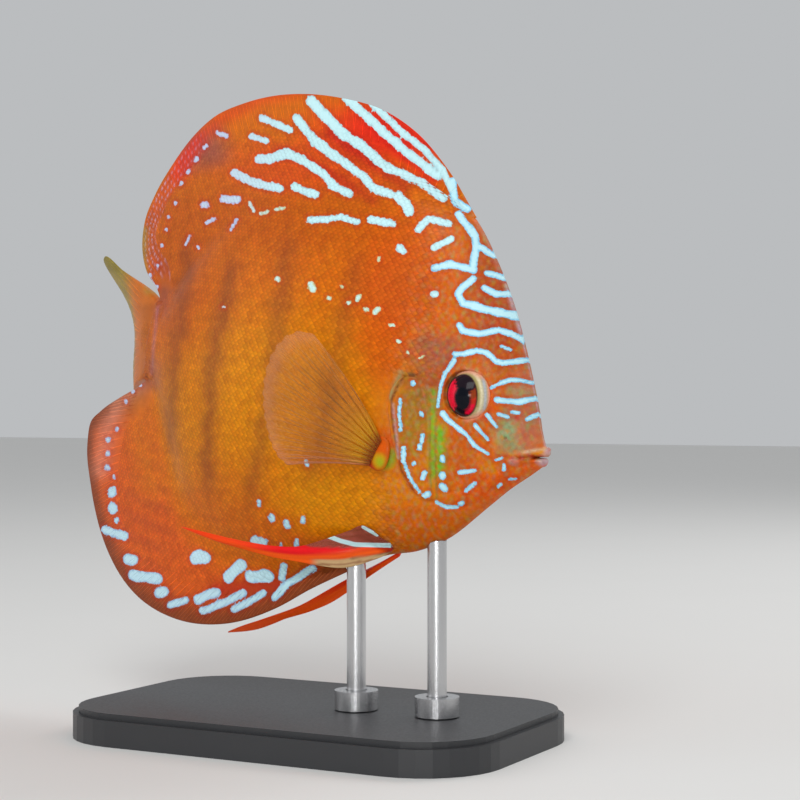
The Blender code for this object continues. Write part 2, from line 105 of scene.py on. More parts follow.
def fall(x: Array | float, start: Array | float, width: float) -> Array:
    """Ease from 1 to 0 as x passes from the start over a width."""
    return 1.0 - rise(x, start, width)


def with_depth(flat: Array, across: Array) -> Array:
    """Fish coordinates of flat-plan points at the given distances from the middle plane."""
    return np.stack([flat[:, 0], across, flat[:, 1]], 1)


def bell(distance: Array, width: float) -> Array:
    """Bell curve of height 1 and the given half width."""
    return np.exp(-((distance / width) ** 2))


def lengths(rows: Array) -> Array:
    """Length of each row of an array of vectors."""
    return np.linalg.norm(rows, axis=1)


def hermite(stations: Points, x: Array | float) -> Array:
    """Smooth curve through (x, value) stations with finite difference tangents.

    Args:
        stations: Pairs of place and value, in rising order of place.
        x: Places at which the curve is read.

    Returns:
        The curve's values, held level past both ends.
    """
    xs = np.array([station[0] for station in stations])
    ys = np.array([station[1] for station in stations])
    slopes = np.gradient(ys, xs)
    x = np.clip(np.asarray(x, dtype=float), xs[0], xs[-1])
    k = np.clip(np.searchsorted(xs, x, side="right") - 1, 0, len(xs) - 2)
    width = xs[k + 1] - xs[k]
    t = (x - xs[k]) / width
    start = ys[k] * (1 + 2 * t) * (1 - t) ** 2 + slopes[k] * width * t * (1 - t) ** 2
    end = ys[k + 1] * t * t * (3 - 2 * t) + slopes[k + 1] * width * t * t * (t - 1)
    return start + end


def smooth_path(points: Points | Array, count: int) -> Array:
    """Even points along a smooth curve through the given points of any dimension."""
    pts = np.asarray(points, dtype=float)
    chord = np.concatenate([[0.0], np.cumsum(lengths(np.diff(pts, axis=0)))])
    fine = np.linspace(0.0, chord[-1], 40 * len(pts))
    curve = np.stack([hermite(list(zip(chord, pts[:, axis])), fine) for axis in range(pts.shape[1])], 1)
    return even_path(curve, count)


def even_path(points: Array, count: int) -> Array:
    """Evenly spaced points along an open line."""
    run = np.concatenate([[0.0], np.cumsum(lengths(np.diff(points, axis=0)))])
    even = np.linspace(0.0, run[-1], count)
    return np.stack([np.interp(even, run, points[:, axis]) for axis in range(points.shape[1])], 1)


def stepped_path(points: Array, step: float, closed: bool = False) -> Array:
    """Points along a line at about the given step; a closed line's last point isn't repeated."""
    line = np.concatenate([points, points[:1]]) if closed else points
    length = float(lengths(np.diff(line, axis=0)).sum())
    even = even_path(line, max(3, int(round(length / step)) + 1))
    return even[:-1] if closed else even


def inside(polygon: Array, points: Array) -> Array:
    """Which points lie inside a closed polygon."""
    hits = np.zeros(len(points), dtype=bool)
    x, y = points[:, 0], points[:, 1]
    for (x1, y1), (x2, y2) in zip(polygon, np.roll(polygon, -1, axis=0)):
        if y1 != y2:
            hits ^= ((y1 > y) != (y2 > y)) & (x < (x2 - x1) * (y - y1) / (y2 - y1) + x1)
    return hits


def line_distance(line: Points | Array, points: Array) -> tuple[Array, Array]:
    """Distance from points to an open line.

    Args:
        line: Corners of the line.
        points: Flat points.

    Returns:
        The distances, and how far along the line the nearest place lies, from 0 to 1.
    """
    line = np.asarray(line, dtype=float)
    best = np.full(len(points), np.inf)
    share = np.zeros(len(points))
    sides = lengths(np.diff(line, axis=0))
    total = max(float(sides.sum()), 1e-12)
    run = 0.0
    for start, end, length in zip(line[:-1], line[1:], sides):
        side = end - start
        t = np.clip(((points - start) @ side) / max(side @ side, 1e-18), 0.0, 1.0)
        gap = lengths(points - start - t[:, None] * side)
        nearer = gap < best
        best[nearer] = gap[nearer]
        share[nearer] = (run + t[nearer] * length) / total
        run += length
    return best, share


def path_gap(points: Points, count: int, flat: Array) -> Array:
    """Distance from flat points to the smooth curve through the given points."""
    return line_distance(smooth_path(points, count), flat)[0]


def normals_of(line: Array) -> Array:
    """Unit normals of an open flat line, to the left of its run."""
    run = np.gradient(line, axis=0)
    return np.stack([-run[:, 1], run[:, 0]], 1) / lengths(run)[:, None]


def ripple(points: Array, pitch: float, seed: int = 0) -> Array:
    """Soft random field between about -1 and 1, the same on every run.

    Args:
        points: Points of any dimension.
        pitch: Size of the field's blobs.
        seed: Which of the fields.

    Returns:
        One value for each point.
    """
    rng = np.random.default_rng(101 + seed)
    total = np.zeros(len(points))
    for _ in range(7):
        wave = rng.normal(size=points.shape[1])
        wave /= np.linalg.norm(wave)
        total += np.sin(points @ wave * (2 * math.pi / pitch) * rng.uniform(0.7, 1.5) + rng.uniform(0, 6.28))
    return total / 3.2


class Side(Enum):
    """Flanks of the fish, with the sign of y on each."""

    RIGHT = -1
    LEFT = 1

    @property
    def word(self) -> str:
        """Name of the flank in piece names."""
        return self.name.lower()


class Tint(Enum):
    """Colours of the fish as 8-bit display values."""

    ORANGE = (210, 106, 8)
    FRONT = (222, 88, 4)
    GOLD = (220, 144, 0)
    AMBER = (220, 128, 0)
    RUST = (186, 82, 8)
    BRICK = (168, 72, 40)
    SCARLET = (226, 40, 22)
    CRIMSON = (176, 18, 24)
    OLIVE = (128, 122, 38)
    GREEN = (98, 184, 36)
    MOSS = (122, 164, 116)
    GREY_ROSE = (186, 124, 106)
    BROWN = (120, 62, 34)
    # Painted shadow: the dark lines in the fold behind the gill cover, in the mouth slit and in the nostril.
    DARK = (62, 26, 20)
    ANAL = (220, 92, 30)
    MAUVE = (150, 84, 70)
    CREAM = (226, 216, 178)
    WHITE_OLIVE = (188, 170, 118)
    GLOW = (246, 186, 44)
    GLEAM = (206, 246, 250)
    CYAN = (118, 200, 240)
    ICE = (176, 218, 226)
    SKY = (140, 190, 228)
    LILAC = (158, 150, 200)
    LAVENDER = (206, 208, 238)
    LID = (232, 158, 132)
    MINT = (204, 208, 150)
    FLAME = (240, 48, 14)
    FIN_RED = (228, 20, 28)
    BLAZE = (255, 92, 16)
    FIN_ORANGE = (245, 92, 18)
    PALE_TAN = (206, 170, 122)
    IRIS = (240, 8, 56)
    PUPIL = (6, 9, 20)
    EYE_RIM = (26, 14, 24)
    # Painted highlight: the grey-blue band on the front of the eye's rim.
    SILVER = (178, 186, 196)
    # Painted highlight: pale lilac on the forehead's front edge, the lip rolls, the knob at the jaws' corner
    # and the gill cover's rim.
    SNOUT_EDGE = (196, 176, 190)
    CLEAR_AMBER = (208, 116, 36)
    TIP_OLIVE = (152, 146, 70)

    @property
    def linear(self) -> tuple[float, float, float]:
        """The colour in scene-linear values."""
        parts = [part / 255.0 for part in self.value]
        return tuple(p / 12.92 if p <= 0.04045 else ((p + 0.055) / 1.055) ** 2.4 for p in parts)

    def over(self, count: int) -> Array:
        """The scene-linear colour in so many rows."""
        return np.tile(np.array(self.linear), (count, 1))


def blend_tint(colour: Array, tint: Tint, share: Array | float) -> Array:
    """Mix a colour into an array of colours by a share for each point."""
    share = np.clip(np.asarray(share), 0.0, 1.0)
    share = share[:, None] if share.ndim else share
    return colour * (1.0 - share) + np.array(tint.linear) * share


def layered(colour: Array, *layers: tuple[Tint, Array | float]) -> Array:
    """Mix colours into an array of colours one after the other, each by its share."""
    for tint, share in layers:
        colour = blend_tint(colour, tint, share)
    return colour


@dataclass(frozen=True)
class FishForm:
    """Outline, thickness and pose of the fish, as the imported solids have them."""

    standard_length: float = 0.134
    edge_half: float = 0.00022
    root_half: float = 0.00075
    fin_taper: float = 0.016
    caudal_root_half: float = 0.0017
    caudal_taper: float = 0.030
    caudal_twist: float = 12.0
    caudal_swing: float = 4.0
    caudal_middle: float = 0.0022
    stem_fade: float = 0.0060
    coat_depth: float = 0.00034
    nose_down: float = math.radians(12.0)
    tail_turn: float = math.radians(28.5)
    turn_start: float = 0.030
    turn_end: float = 0.150
    pivot_s: float = 0.065
    pivot_height: float = 0.086
    back: Points = tenths(
        0, 18, 18, 48, 46, 115, 88, 205, 143, 312, 225, 436, 300, 522, 400, 574, 550, 602, 720, 592,
        900, 540, 1060, 440, 1190, 300, 1280, 182, 1340, 140,
    )
    belly: Points = tenths(
        0, -30, 20, -51, 70, -100, 120, -158, 200, -250, 280, -305, 360, -336, 450, -385, 600, -460,
        750, -490, 900, -470, 1060, -390, 1190, -235, 1280, -125, 1340, -88,
    )
    half_width: Points = tenths(
        -14, 10, -7, 18, 0, 23, 20, 37, 80, 66, 180, 98, 300, 124, 420, 137, 520, 140, 750, 130, 950, 104,
        1150, 68, 1280, 42, 1340, 32,
    )
    dorsal_edge: Points = tenths(
        295, 523, 395, 624, 500, 700, 600, 740, 750, 757, 950, 745, 1120, 706, 1240, 664, 1340, 602,
        1435, 515, 1510, 425, 1548, 345, 1540, 275, 1490, 210, 1405, 170,
    )
    anal_edge: Points = tenths(
        465, -406, 560, -475, 660, -555, 780, -625, 920, -670, 1060, -685, 1210, -674, 1360, -630,
        1495, -555, 1605, -450, 1675, -345, 1680, -275, 1625, -230, 1520, -172, 1410, -120,
    )
    caudal_edge: Points = tenths(
        1343, 132, 1430, 158, 1600, 190, 1730, 213, 1768, 195, 1758, 120, 1745, 20, 1752, -90, 1750, -165,
        1710, -190, 1600, -160, 1440, -110, 1343, -84,
    )
    lips: Points = tenths(
        0, 18, -6, 21, -11, 18, -14, 10, -13, 3, -9, -3, 20, -10, -6, -7, -10, -12, -11, -20, -7, -27,
        0, -30,
    )

    def body_half(self, flat: Array) -> Array:
        """Half thickness of the body, 0 outside it."""
        return np.maximum(self.body_lens(flat), 0.0)

    def body_lens(self, flat: Array) -> Array:
        """Half thickness of the body as a lens that is rounder at the head, negative outside it."""
        s, z = flat[:, 0], flat[:, 1]
        lips = 0.0016 * smooth_step((0.0004 - s) / 0.0007)
        top, low = hermite(self.back, s) + lips, hermite(self.belly, s) - lips
        across = np.abs((z - 0.5 * (top + low)) / (0.5 * (top - low)))
        power = 0.52 + 0.20 * rise(s, 0.02, 0.05) + 0.45 * rise(s, 0.045, 0.05)
        stem = fall(s, self.standard_length, self.stem_fade)
        room = 1.0 - across**2.1
        lens = hermite(self.half_width, s) * np.sign(room) * np.abs(room) ** power
        return lens * stem - 0.004 * (1.0 - stem)

    def body_outline(self) -> Array:
        """Closed outline of the body, lips to tail stem."""
        top = np.linspace(0.0, self.standard_length, 240)
        low = top[::-1]
        back = np.stack([top, hermite(self.back, top)], 1)
        belly = np.stack([low, hermite(self.belly, low)], 1)
        mouth = np.array(self.lips)[::-1][1:-1]
        return np.concatenate([back, belly, mouth])

    def fin_outline(self, edge: Points, profile: Points, sign: int, deep: float = 0.0035) -> Array:
        """Closed outline of a median fin, seated a little way inside the body.

        Args:
            edge: Outer edge of the fin, front to rear.
            profile: Body profile that carries the fin.
            sign: 1 on the back, -1 on the belly.
            deep: How far it is seated inside the body.

        Returns:
            Corners of the closed outline.
        """
        outer = smooth_path(edge, 220)
        base = np.linspace(self.standard_length - 0.001, edge[0][0] + 0.003, 90)
        seat = hermite(profile, base) - sign * deep
        return np.concatenate([outer, np.stack([base, seat], 1)])

    def caudal_outline(self) -> Array:
        """Closed outline of the tail fin, seated in the tail stem."""
        root = np.array(((0.1300, -0.0070), (0.1300, 0.0110)))
        return np.concatenate([smooth_path(self.caudal_edge, 150), root])

    def fin_half(self, flat: Array, edge: Points) -> Array:
        """Half thickness of a median fin that thins towards its edge."""
        inner = smooth_step(path_gap(edge, 60, flat) / self.fin_taper)
        return self.edge_half + (self.root_half - self.edge_half) * inner

    def caudal_half(self, flat: Array) -> Array:
        """Half thickness of the tail fin."""
        fade = rise(flat[:, 0], self.standard_length, self.caudal_taper)
        return self.caudal_root_half * (1 - fade) + self.edge_half * fade

    def middle(self, flat: Array) -> Array:
        """How far the tail fin's middle plane leans and swings to one side."""
        run = np.clip(flat[:, 0] - self.standard_length, 0.0, None)
        lean = self.caudal_swing * run**2 - self.caudal_twist * run * (flat[:, 1] - self.caudal_middle)
        cup = 3.8 * run**2 * bell(flat[:, 1] - 0.0035, 0.012)
        return (lean + cup) * smooth_step(run / 0.004)

    def bare_half(self, flat: Array) -> Array:
        """Half thickness of body and fins together, before the head's relief."""
        half = np.zeros(len(flat))
        for edge, profile, sign in ((self.dorsal_edge, self.back, 1), (self.anal_edge, self.belly, -1)):
            where = inside(self.fin_outline(edge, profile, sign, 0.008), flat)
            half[where] = self.fin_half(flat[where], edge)
        where = inside(self.caudal_outline(), flat)
        half[where] = np.maximum(half[where], self.caudal_half(flat[where]))
        body = self.body_lens(flat) - self.coat_depth
        soft = 0.0008 + 0.0012 * rise(flat[:, 0], 0.05, 0.03)
        near = np.clip(1.0 - np.abs(body - half) / soft, 0.0, 1.0)
        return np.maximum(np.maximum(body, half), 0.0) + np.where(half > 0, 0.25 * soft * near**2, 0.0)

    def spine(self) -> tuple[Array, Array, Array, Array]:
        """Stations of s with the turned centre line and its heading."""
        s = np.linspace(-0.02, 0.24, 2601)
        heading = self.tail_turn * rise(s, self.turn_start, self.turn_end - self.turn_start)
        step = s[1] - s[0]
        x = -np.concatenate([[0.0], np.cumsum(np.cos(heading[:-1]) * step)])
        y = np.concatenate([[0.0], np.cumsum(np.sin(heading[:-1]) * step)])
        return s, x - np.interp(self.pivot_s, s, x), y - np.interp(self.pivot_s, s, y), heading

    def place(self, points: Array) -> Array:
        """World position of fish coordinates: tail turned, nose down, lifted."""
        table, line_x, line_y, turn = self.spine()
        s, side, z = np.asarray(points, dtype=float).T
        heading = np.interp(s, table, turn)
        x = np.interp(s, table, line_x) + side * np.sin(heading)
        across = np.interp(s, table, line_y) + side * np.cos(heading)
        cos_p, sin_p = math.cos(self.nose_down), math.sin(self.nose_down)
        return np.stack([x * cos_p + z * sin_p, across, z * cos_p - x * sin_p + self.pivot_height], 1)


@dataclass(frozen=True)
class PhotoCamera:
    """Camera at the photograph's viewing angle, and its picture frame."""

    azimuth: float = math.radians(28.0)
    distance: float = 0.480
    lens: float = 85.0
    sensor: float = 36.0
    frame_size: float = 800.0
    target: tuple[float, float, float] = (0.018578, 0.009878, 0.085569)

    @property
    def back(self) -> Array:
        """Direction from the target to the camera."""
        return np.array((math.sin(self.azimuth), -math.cos(self.azimuth), 0.0))

    @property
    def right(self) -> Array:
        """Direction that runs right in the picture."""
        return np.array((math.cos(self.azimuth), math.sin(self.azimuth), 0.0))

    def pixels(self, points: Array) -> Array:
        """Picture places of world points."""
        offset = points - np.array(self.target) - self.distance * self.back
        depth = -offset @ self.back
        scale = self.lens / self.sensor * self.frame_size / depth
        middle = 0.5 * self.frame_size
        return np.stack([middle + scale * (offset @ self.right), middle - scale * offset[:, 2]], 1)

    def build(self) -> None:
        """Make the camera the scene's own."""
        data = bpy.data.cameras.new("photo_camera")
        data.lens = self.lens
        data.sensor_width = self.sensor
        data.clip_start = 0.01
        camera = bpy.data.objects.new("photo_camera", data)
        camera.location = Vector(self.target) + self.distance * Vector(self.back)
        camera.rotation_euler = Vector(self.back).to_track_quat("Z", "Y").to_euler()
        bpy.context.scene.collection.objects.link(camera)
        bpy.context.scene.camera = camera


@dataclass(frozen=True)
class Stroke:
    """A pale mark: its width in pixels, its middle line in the picture and the share lost at its end."""

    width: float
    line: Points
    taper: float = 0.0


@dataclass(frozen=True)
class StrokeSet:
    """Pale marks of one colour."""

    tint: Tint
    strokes: tuple[Stroke, ...]


@dataclass(frozen=True)
class Accent:
    """A soft line of colour in the skin, in picture pixels."""

    tint: Tint
    width: float
    strength: float
    line: Points


@dataclass(frozen=True)
class Zone:
    """A soft oval of colour in the skin, in picture pixels: its centre, half extents and strength."""

    tint: Tint
    x: float
    y: float
    wide: float
    high: float
    strength: float


def strokes(tint: Tint, *rows: tuple[float, ...]) -> StrokeSet:
    """Pale marks from rows of a width, a taper and then the places of the line."""
    return StrokeSet(tint, tuple(Stroke(width, pairs(line), taper) for width, taper, *line in rows))


def accents(*rows: tuple) -> tuple[Accent, ...]:
    """Soft lines from rows of a tint, a width, a strength and then the places of the line."""
    return tuple(Accent(tint, width, strength, pairs(line)) for tint, width, strength, *line in rows)


FOREHEAD_STROKES = strokes(
    Tint.CYAN,
    (8, 0, 452, 181, 455, 201, 467, 209), (8, 0, 459, 215, 475, 236, 476, 247, 473, 270),
    (6, 0, 476, 244, 494, 256), (7.5, 0, 435, 268, 450, 264, 473, 270),
    (7, 0, 473, 279, 462, 288, 458, 294, 464, 304), (8.5, 0, 467, 304, 480, 308, 493, 311, 517, 316),
    (6, 0, 487, 273, 504, 278), (6.5, 0, 484, 288, 496, 294, 508, 294),
    (6.5, 0, 459, 325, 463, 331, 479, 334, 499, 330, 512, 334, 524, 341),
    (5.5, 0, 455, 354, 463, 354, 477, 350.5, 487, 353, 492, 357, 496, 361, 503, 363, 528, 360),
    (3, 0, 501, 346, 511, 350), (3.4, 0, 494, 388, 503, 383),
    (5.2, 0.35, 503, 383, 511, 380, 520, 380, 532, 383), (6, 0, 500, 400, 519, 402, 537, 398),
)
CHEEK_STROKES = strokes(
    Tint.CYAN,
    (4.6, 0.3, 454, 360, 443, 374, 439, 385, 437, 400, 436, 407),
    (5.8, 0.42, 441, 413, 446, 419, 458, 428, 466, 434, 474, 445, 488, 454),
    (4.6, 0.3, 489.5, 415, 497, 427), (4.6, 0.35, 476, 425, 488, 440), (3.6, 0, 500, 414, 508, 417),
    (3.2, 0, 512, 412, 519, 413), (4.6, 0, 527, 419, 539, 414),
    (3.4, 0, 400.5, 399, 399.5, 414, 401, 430), (4.6, 0, 404, 448, 404, 462),
    (3.4, 0, 404, 462, 411, 479, 420, 492), (5.8, 0, 425, 496, 428, 494),
    (3.8, 0, 436, 502, 446, 507, 457, 507), (4.8, 0, 460, 504, 462, 503), (5.2, 0, 413, 383, 413, 384),
    (4, 0, 421, 413, 422, 415), (4.4, 0, 423, 435, 422, 441), (5, 0, 420, 446, 420, 448),
    (4.2, 0, 414, 463, 414, 463.5), (5.2, 0, 425, 473, 423, 478), (5.4, 0, 443, 457, 443, 460),
    (7, 0, 443, 475, 443, 476.5), (6.6, 0, 442, 486, 445, 489), (4.4, 0, 460, 472.5, 475, 470.5),
    (4.2, 0, 466, 491, 475, 483), (3.4, 0, 504, 465, 504, 470), (3, 0, 496, 460, 502, 458),
    (3.2, 0, 498, 487, 501, 484), (2.4, 0, 509, 479, 516, 479),
)
DORSAL_STROKES = strokes(
    Tint.ICE,
    (8.5, 0, 259, 159, 270, 159), (10.5, 0.25, 270, 159, 287, 153, 302, 160, 324, 174),
    (8.5, 0, 324, 174, 333, 186, 349, 194), (8.5, 0, 296, 118, 316, 142),
    (11, 0.3, 316, 142, 341, 160, 362, 176), (8.5, 0, 362, 176, 373, 188, 391, 195),
    (10, 0, 398, 197, 405, 203, 409, 212),
    (11.5, 0.3, 312, 102, 343, 134, 362, 146, 386, 167, 420, 182, 443, 199),
    (9, 0, 346, 98, 388, 136, 405, 151, 421, 163, 438, 176),
    (7, 0, 372, 104, 403, 133, 424, 149, 442, 170, 452, 189), (8.5, 0, 235, 173, 252, 182, 280, 189),
    (8, 0, 295, 187, 306, 192, 316, 195), (6.5, 0, 310, 220, 327, 220, 340, 217, 357, 222),
    (7.5, 0, 371, 220, 393, 224), (7, 0, 418, 230, 428, 219, 449, 224), (6.5, 0, 434, 248, 451, 239),
    (8, 0, 400, 248, 403, 251), (6.5, 0, 433, 294, 435, 294), (7, 0, 262, 118, 290, 130),
    (6, 0, 252, 136, 266, 141),
)
REAR_STROKES = strokes(
    Tint.LILAC,
    (7.5, 0, 224, 199, 238, 200), (7, 0, 204, 205, 206, 205), (3.6, 0, 207, 223, 215, 219),
    (3, 0, 231, 230, 237, 220), (2.6, 0, 186, 245, 190, 236), (3, 0, 198, 247, 199, 248),
    (5, 0, 218, 133, 226, 136), (4, 0, 204, 148, 206, 146), (4, 0, 196, 160, 197, 158),
    (3.6, 0, 188, 172, 189, 171), (3.6, 0, 181, 184, 182, 183), (3.2, 0, 176, 203, 176, 204),
    (2.8, 0, 169, 217, 169, 218), (2.8, 0, 167, 229, 167, 230), (2.8, 0, 162, 245, 162, 246),
    (2.8, 0, 158, 265, 158, 266), (3.2, 0, 157, 286, 157, 287), (3.2, 0, 150, 275, 150, 276),
    (4.2, 0, 140, 384, 140, 385), (3.6, 0, 133, 391, 133, 392), (3.6, 0, 126, 401, 126, 402),
    (4, 0, 117, 429, 117, 430), (5, 0, 108, 439, 108, 440), (5.4, 0, 108, 453, 108, 454),
    (5.4, 0, 107, 467, 108, 468), (4.2, 0, 114, 476, 114, 477),
)
ANAL_STROKES = strokes(
    Tint.SKY,
    (9, 0, 112, 491, 112, 493), (10, 0, 113, 507, 113, 509), (5, 0, 117, 520, 117, 521),
    (9, 0, 106, 530, 124, 536), (11, 0, 129, 559, 133, 560), (11, 0, 133, 575, 158, 579),
    (11.5, 0, 160, 592, 163, 592), (7.5, 0, 170, 605, 186, 600), (10, 0, 198, 599, 216, 592),
    (8, 0, 203, 611, 226, 602, 243, 593), (7.5, 0, 234, 609, 249, 602, 263, 593),
    (8, 0, 275, 597, 287, 584, 313, 568), (7, 0, 284, 566, 282, 578), (14, 0, 197, 557, 204, 558),
    (12, 0, 229, 577, 241, 565), (13, 0, 252, 576, 268, 576), (8.5, 0, 255, 540, 264, 542),
    (6.5, 0, 272, 516, 272, 519), (6, 0, 286, 522, 288, 526), (5, 0, 303, 518, 303, 521),
    (4, 0, 259, 501, 259, 505), (4.5, 0, 297, 540, 297, 545), (3.5, 0, 281, 544, 281, 546),
    (4, 0, 306, 461, 307, 465),
)
FLANK_FLECKS = strokes(
    Tint.MINT,
    (3.6, 0, 250, 203, 254, 211), (3.2, 0, 261, 214, 268, 212), (3, 0, 276, 210, 284, 208),
    (5, 0, 277, 279, 278, 280), (7, 0, 311, 285, 313, 289), (4, 0, 328, 298, 330, 298),
    (3.2, 0, 342, 286, 342, 287), (3.4, 0, 348, 303, 350, 302), (4.6, 0, 357, 300, 359, 296),
    (4, 0, 365, 309, 367, 310), (6, 0, 375, 312, 378, 309), (4.2, 0, 391, 325, 393, 325),
    (3.4, 0, 379, 258, 379, 260), (2.6, 0, 223, 307, 224, 307), (3.6, 0, 398, 341, 400, 342),
    (3, 0, 407, 352, 408, 353), (2.8, 0, 420, 358, 424, 356),
)
STROKE_SETS = (FOREHEAD_STROKES, CHEEK_STROKES, DORSAL_STROKES, REAR_STROKES, ANAL_STROKES, FLANK_FLECKS)

ZONES = (
    Zone(Tint.GOLD, 280, 400, 120, 100, 0.66), Zone(Tint.GOLD, 166, 440, 36, 80, 0.36),
    Zone(Tint.AMBER, 370, 505, 85, 48, 0.8), Zone(Tint.FRONT, 420, 524, 48, 26, 0.42),
    Zone(Tint.RUST, 420, 526, 46, 24, 0.4), Zone(Tint.GOLD, 330, 500, 60, 34, 0.62),
    Zone(Tint.FRONT, 408, 280, 62, 80, 0.6), Zone(Tint.BRICK, 402, 292, 46, 54, 0.24),
    Zone(Tint.FRONT, 385, 350, 26, 40, 0.45), Zone(Tint.RUST, 378, 354, 26, 34, 0.3),
    Zone(Tint.RUST, 290, 215, 130, 44, 0.55), Zone(Tint.RUST, 178, 270, 42, 80, 0.45),
    Zone(Tint.SCARLET, 400, 128, 95, 34, 0.92), Zone(Tint.SCARLET, 320, 165, 110, 30, 0.4),
    Zone(Tint.SCARLET, 182, 140, 22, 40, 0.55), Zone(Tint.MAUVE, 204, 148, 28, 24, 0.8),
    Zone(Tint.BRICK, 500, 300, 38, 90, 0.8), Zone(Tint.MAUVE, 438, 352, 30, 22, 0.76),
    Zone(Tint.MAUVE, 424, 392, 18, 24, 0.45), Zone(Tint.BROWN, 426, 390, 17, 26, 0.46),
    Zone(Tint.RUST, 424, 394, 18, 30, 0.4), Zone(Tint.BRICK, 425, 390, 13, 20, 0.4),
    Zone(Tint.OLIVE, 412, 420, 18, 54, 0.6), Zone(Tint.AMBER, 425, 478, 24, 26, 0.5),
    Zone(Tint.GREY_ROSE, 524, 410, 17, 46, 0.62), Zone(Tint.GREY_ROSE, 530, 432, 12, 22, 0.4),
    Zone(Tint.BRICK, 524, 424, 15, 32, 0.36), Zone(Tint.MOSS, 505, 432, 13, 21, 0.9),
    Zone(Tint.BRICK, 506, 441, 4, 4, 0.6), Zone(Tint.MOSS, 499, 418, 7, 6, 0.7),
    Zone(Tint.MOSS, 515, 446, 9, 6, 0.6), Zone(Tint.MOSS, 530, 423, 8, 7, 0.45),
    Zone(Tint.MOSS, 520, 392, 18, 7, 0.4), Zone(Tint.FRONT, 493, 404, 13, 24, 0.85),
    Zone(Tint.FRONT, 470, 455, 34, 26, 0.3), Zone(Tint.RUST, 456, 452, 24, 24, 0.62),
    Zone(Tint.FRONT, 496, 486, 46, 24, 0.92), Zone(Tint.FLAME, 470, 500, 26, 12, 0.14),
    Zone(Tint.GOLD, 488, 468, 10, 8, 0.55), Zone(Tint.FRONT, 531, 466, 15, 9, 0.95),
    # The pale lilac ovals at the lips and the jaw knob on these two lines are painted highlights.
    Zone(Tint.GOLD, 541, 454.5, 10, 4, 0.85), Zone(Tint.SNOUT_EDGE, 549, 451, 6, 6.5, 0.9),
    Zone(Tint.SNOUT_EDGE, 543, 462.5, 7, 6.5, 0.9), Zone(Tint.SNOUT_EDGE, 514, 461, 5.4, 5.4, 0.5),
    Zone(Tint.BRICK, 514, 461, 2.6, 2.6, 0.6), Zone(Tint.RUST, 384, 448, 16, 16, 0.6),
    Zone(Tint.FRONT, 384, 440, 13, 13, 0.6), Zone(Tint.GREEN, 387, 460, 8, 9, 0.7),
)
BARS = accents(
    (Tint.BROWN, 8, 0.5, 191, 235, 183, 300, 174, 360, 172, 420, 176, 460),
    (Tint.BROWN, 9, 0.55, 236, 245, 228, 290, 212, 360, 207, 450, 210, 500),
    (Tint.BROWN, 10, 0.44, 290, 225, 281, 300, 268, 400, 252, 490, 248, 520),
    (Tint.BROWN, 11, 0.34, 362, 240, 345, 310, 330, 395, 308, 490),
    (Tint.BROWN, 7, 0.26, 150, 300, 148, 340, 146, 370),
)
ACCENTS = accents(
    (Tint.GREEN, 6, 0.8, 432, 392, 432, 430, 433, 475), (Tint.GREEN, 8, 1, 440, 430, 441, 452, 440, 470),
    (Tint.OLIVE, 1.6, 0.85, 430, 388, 429.5, 440, 431, 492),
    (Tint.OLIVE, 1.6, 0.85, 436, 388, 435.5, 440, 437, 498),
    (Tint.MOSS, 3.2, 0.6, 401, 372, 394, 386, 391, 397),
    # Painted shadow in the fold along the gill cover's rear edge.
    (Tint.DARK, 1.8, 0.8, 417, 374, 406, 375, 399, 384, 392, 400, 393, 420, 396, 440, 402, 470, 414, 490),
    # Painted highlight along the gill cover's rim.
    (Tint.SNOUT_EDGE, 1.6, 0.6, 393.5, 404, 396.5, 430, 399, 458),
    # Painted highlight along the forehead's front edge.
    (Tint.SNOUT_EDGE, 2.6, 0.9, 506, 285, 519, 328, 528, 358, 535.5, 392, 541.5, 425, 546, 447),
    (Tint.LID, 4, 0.8, 466, 370, 478, 373, 486, 382, 490, 394, 487, 407, 478, 417, 466, 420),
    (Tint.EYE_RIM, 3.6, 0.6, 464, 371, 455, 374, 448, 383, 445.5, 395, 448, 406),
    (Tint.CREAM, 2.2, 0.65, 524, 452, 534, 450.5, 544, 448.5),
    (Tint.CRIMSON, 2.8, 0.75, 518, 458, 528, 456.5, 540, 456.5),
    # Painted shadow in the mouth slit.
    (Tint.DARK, 1.3, 0.5, 522, 460, 530, 459.5, 538, 458.5),
    (Tint.CRIMSON, 2.2, 0.55, 496, 455, 505, 456, 513, 457.5),
    # The first line here is a painted shadow in the nostril.
    (Tint.DARK, 1.6, 0.55, 505, 438.5, 505.5, 440), (Tint.CRIMSON, 4, 0.45, 478, 421, 488, 418, 492, 410),
    (Tint.CRIMSON, 4, 0.6, 512, 417.5, 519, 418.5),
    (Tint.SCARLET, 12, 0.45, 176, 176, 196, 144, 218, 120, 260, 98, 330, 84),
    (Tint.TIP_OLIVE, 6, 0.6, 144, 230, 143, 262, 148, 290),
    (Tint.LID, 13, 0.4, 140, 386, 120, 402, 107, 430, 101, 470),
    (Tint.AMBER, 26, 0.42, 142, 405, 143, 440, 152, 482), (Tint.MAUVE, 12, 0.62, 164, 292, 161, 308),
    (Tint.MAUVE, 12, 0.5, 154, 366, 153, 382), (Tint.LILAC, 2.4, 0.16, 158, 308, 154, 345, 152, 374),
    (Tint.CRIMSON, 13, 0.62, 218, 590, 240, 586, 275, 584),
    (Tint.CRIMSON, 9, 0.5, 280, 150, 330, 172, 372, 200),
    (Tint.CRIMSON, 9, 0.55, 330, 134, 372, 165, 405, 188),
    (Tint.SCARLET, 12, 0.8, 372, 128, 400, 152, 432, 178),
)


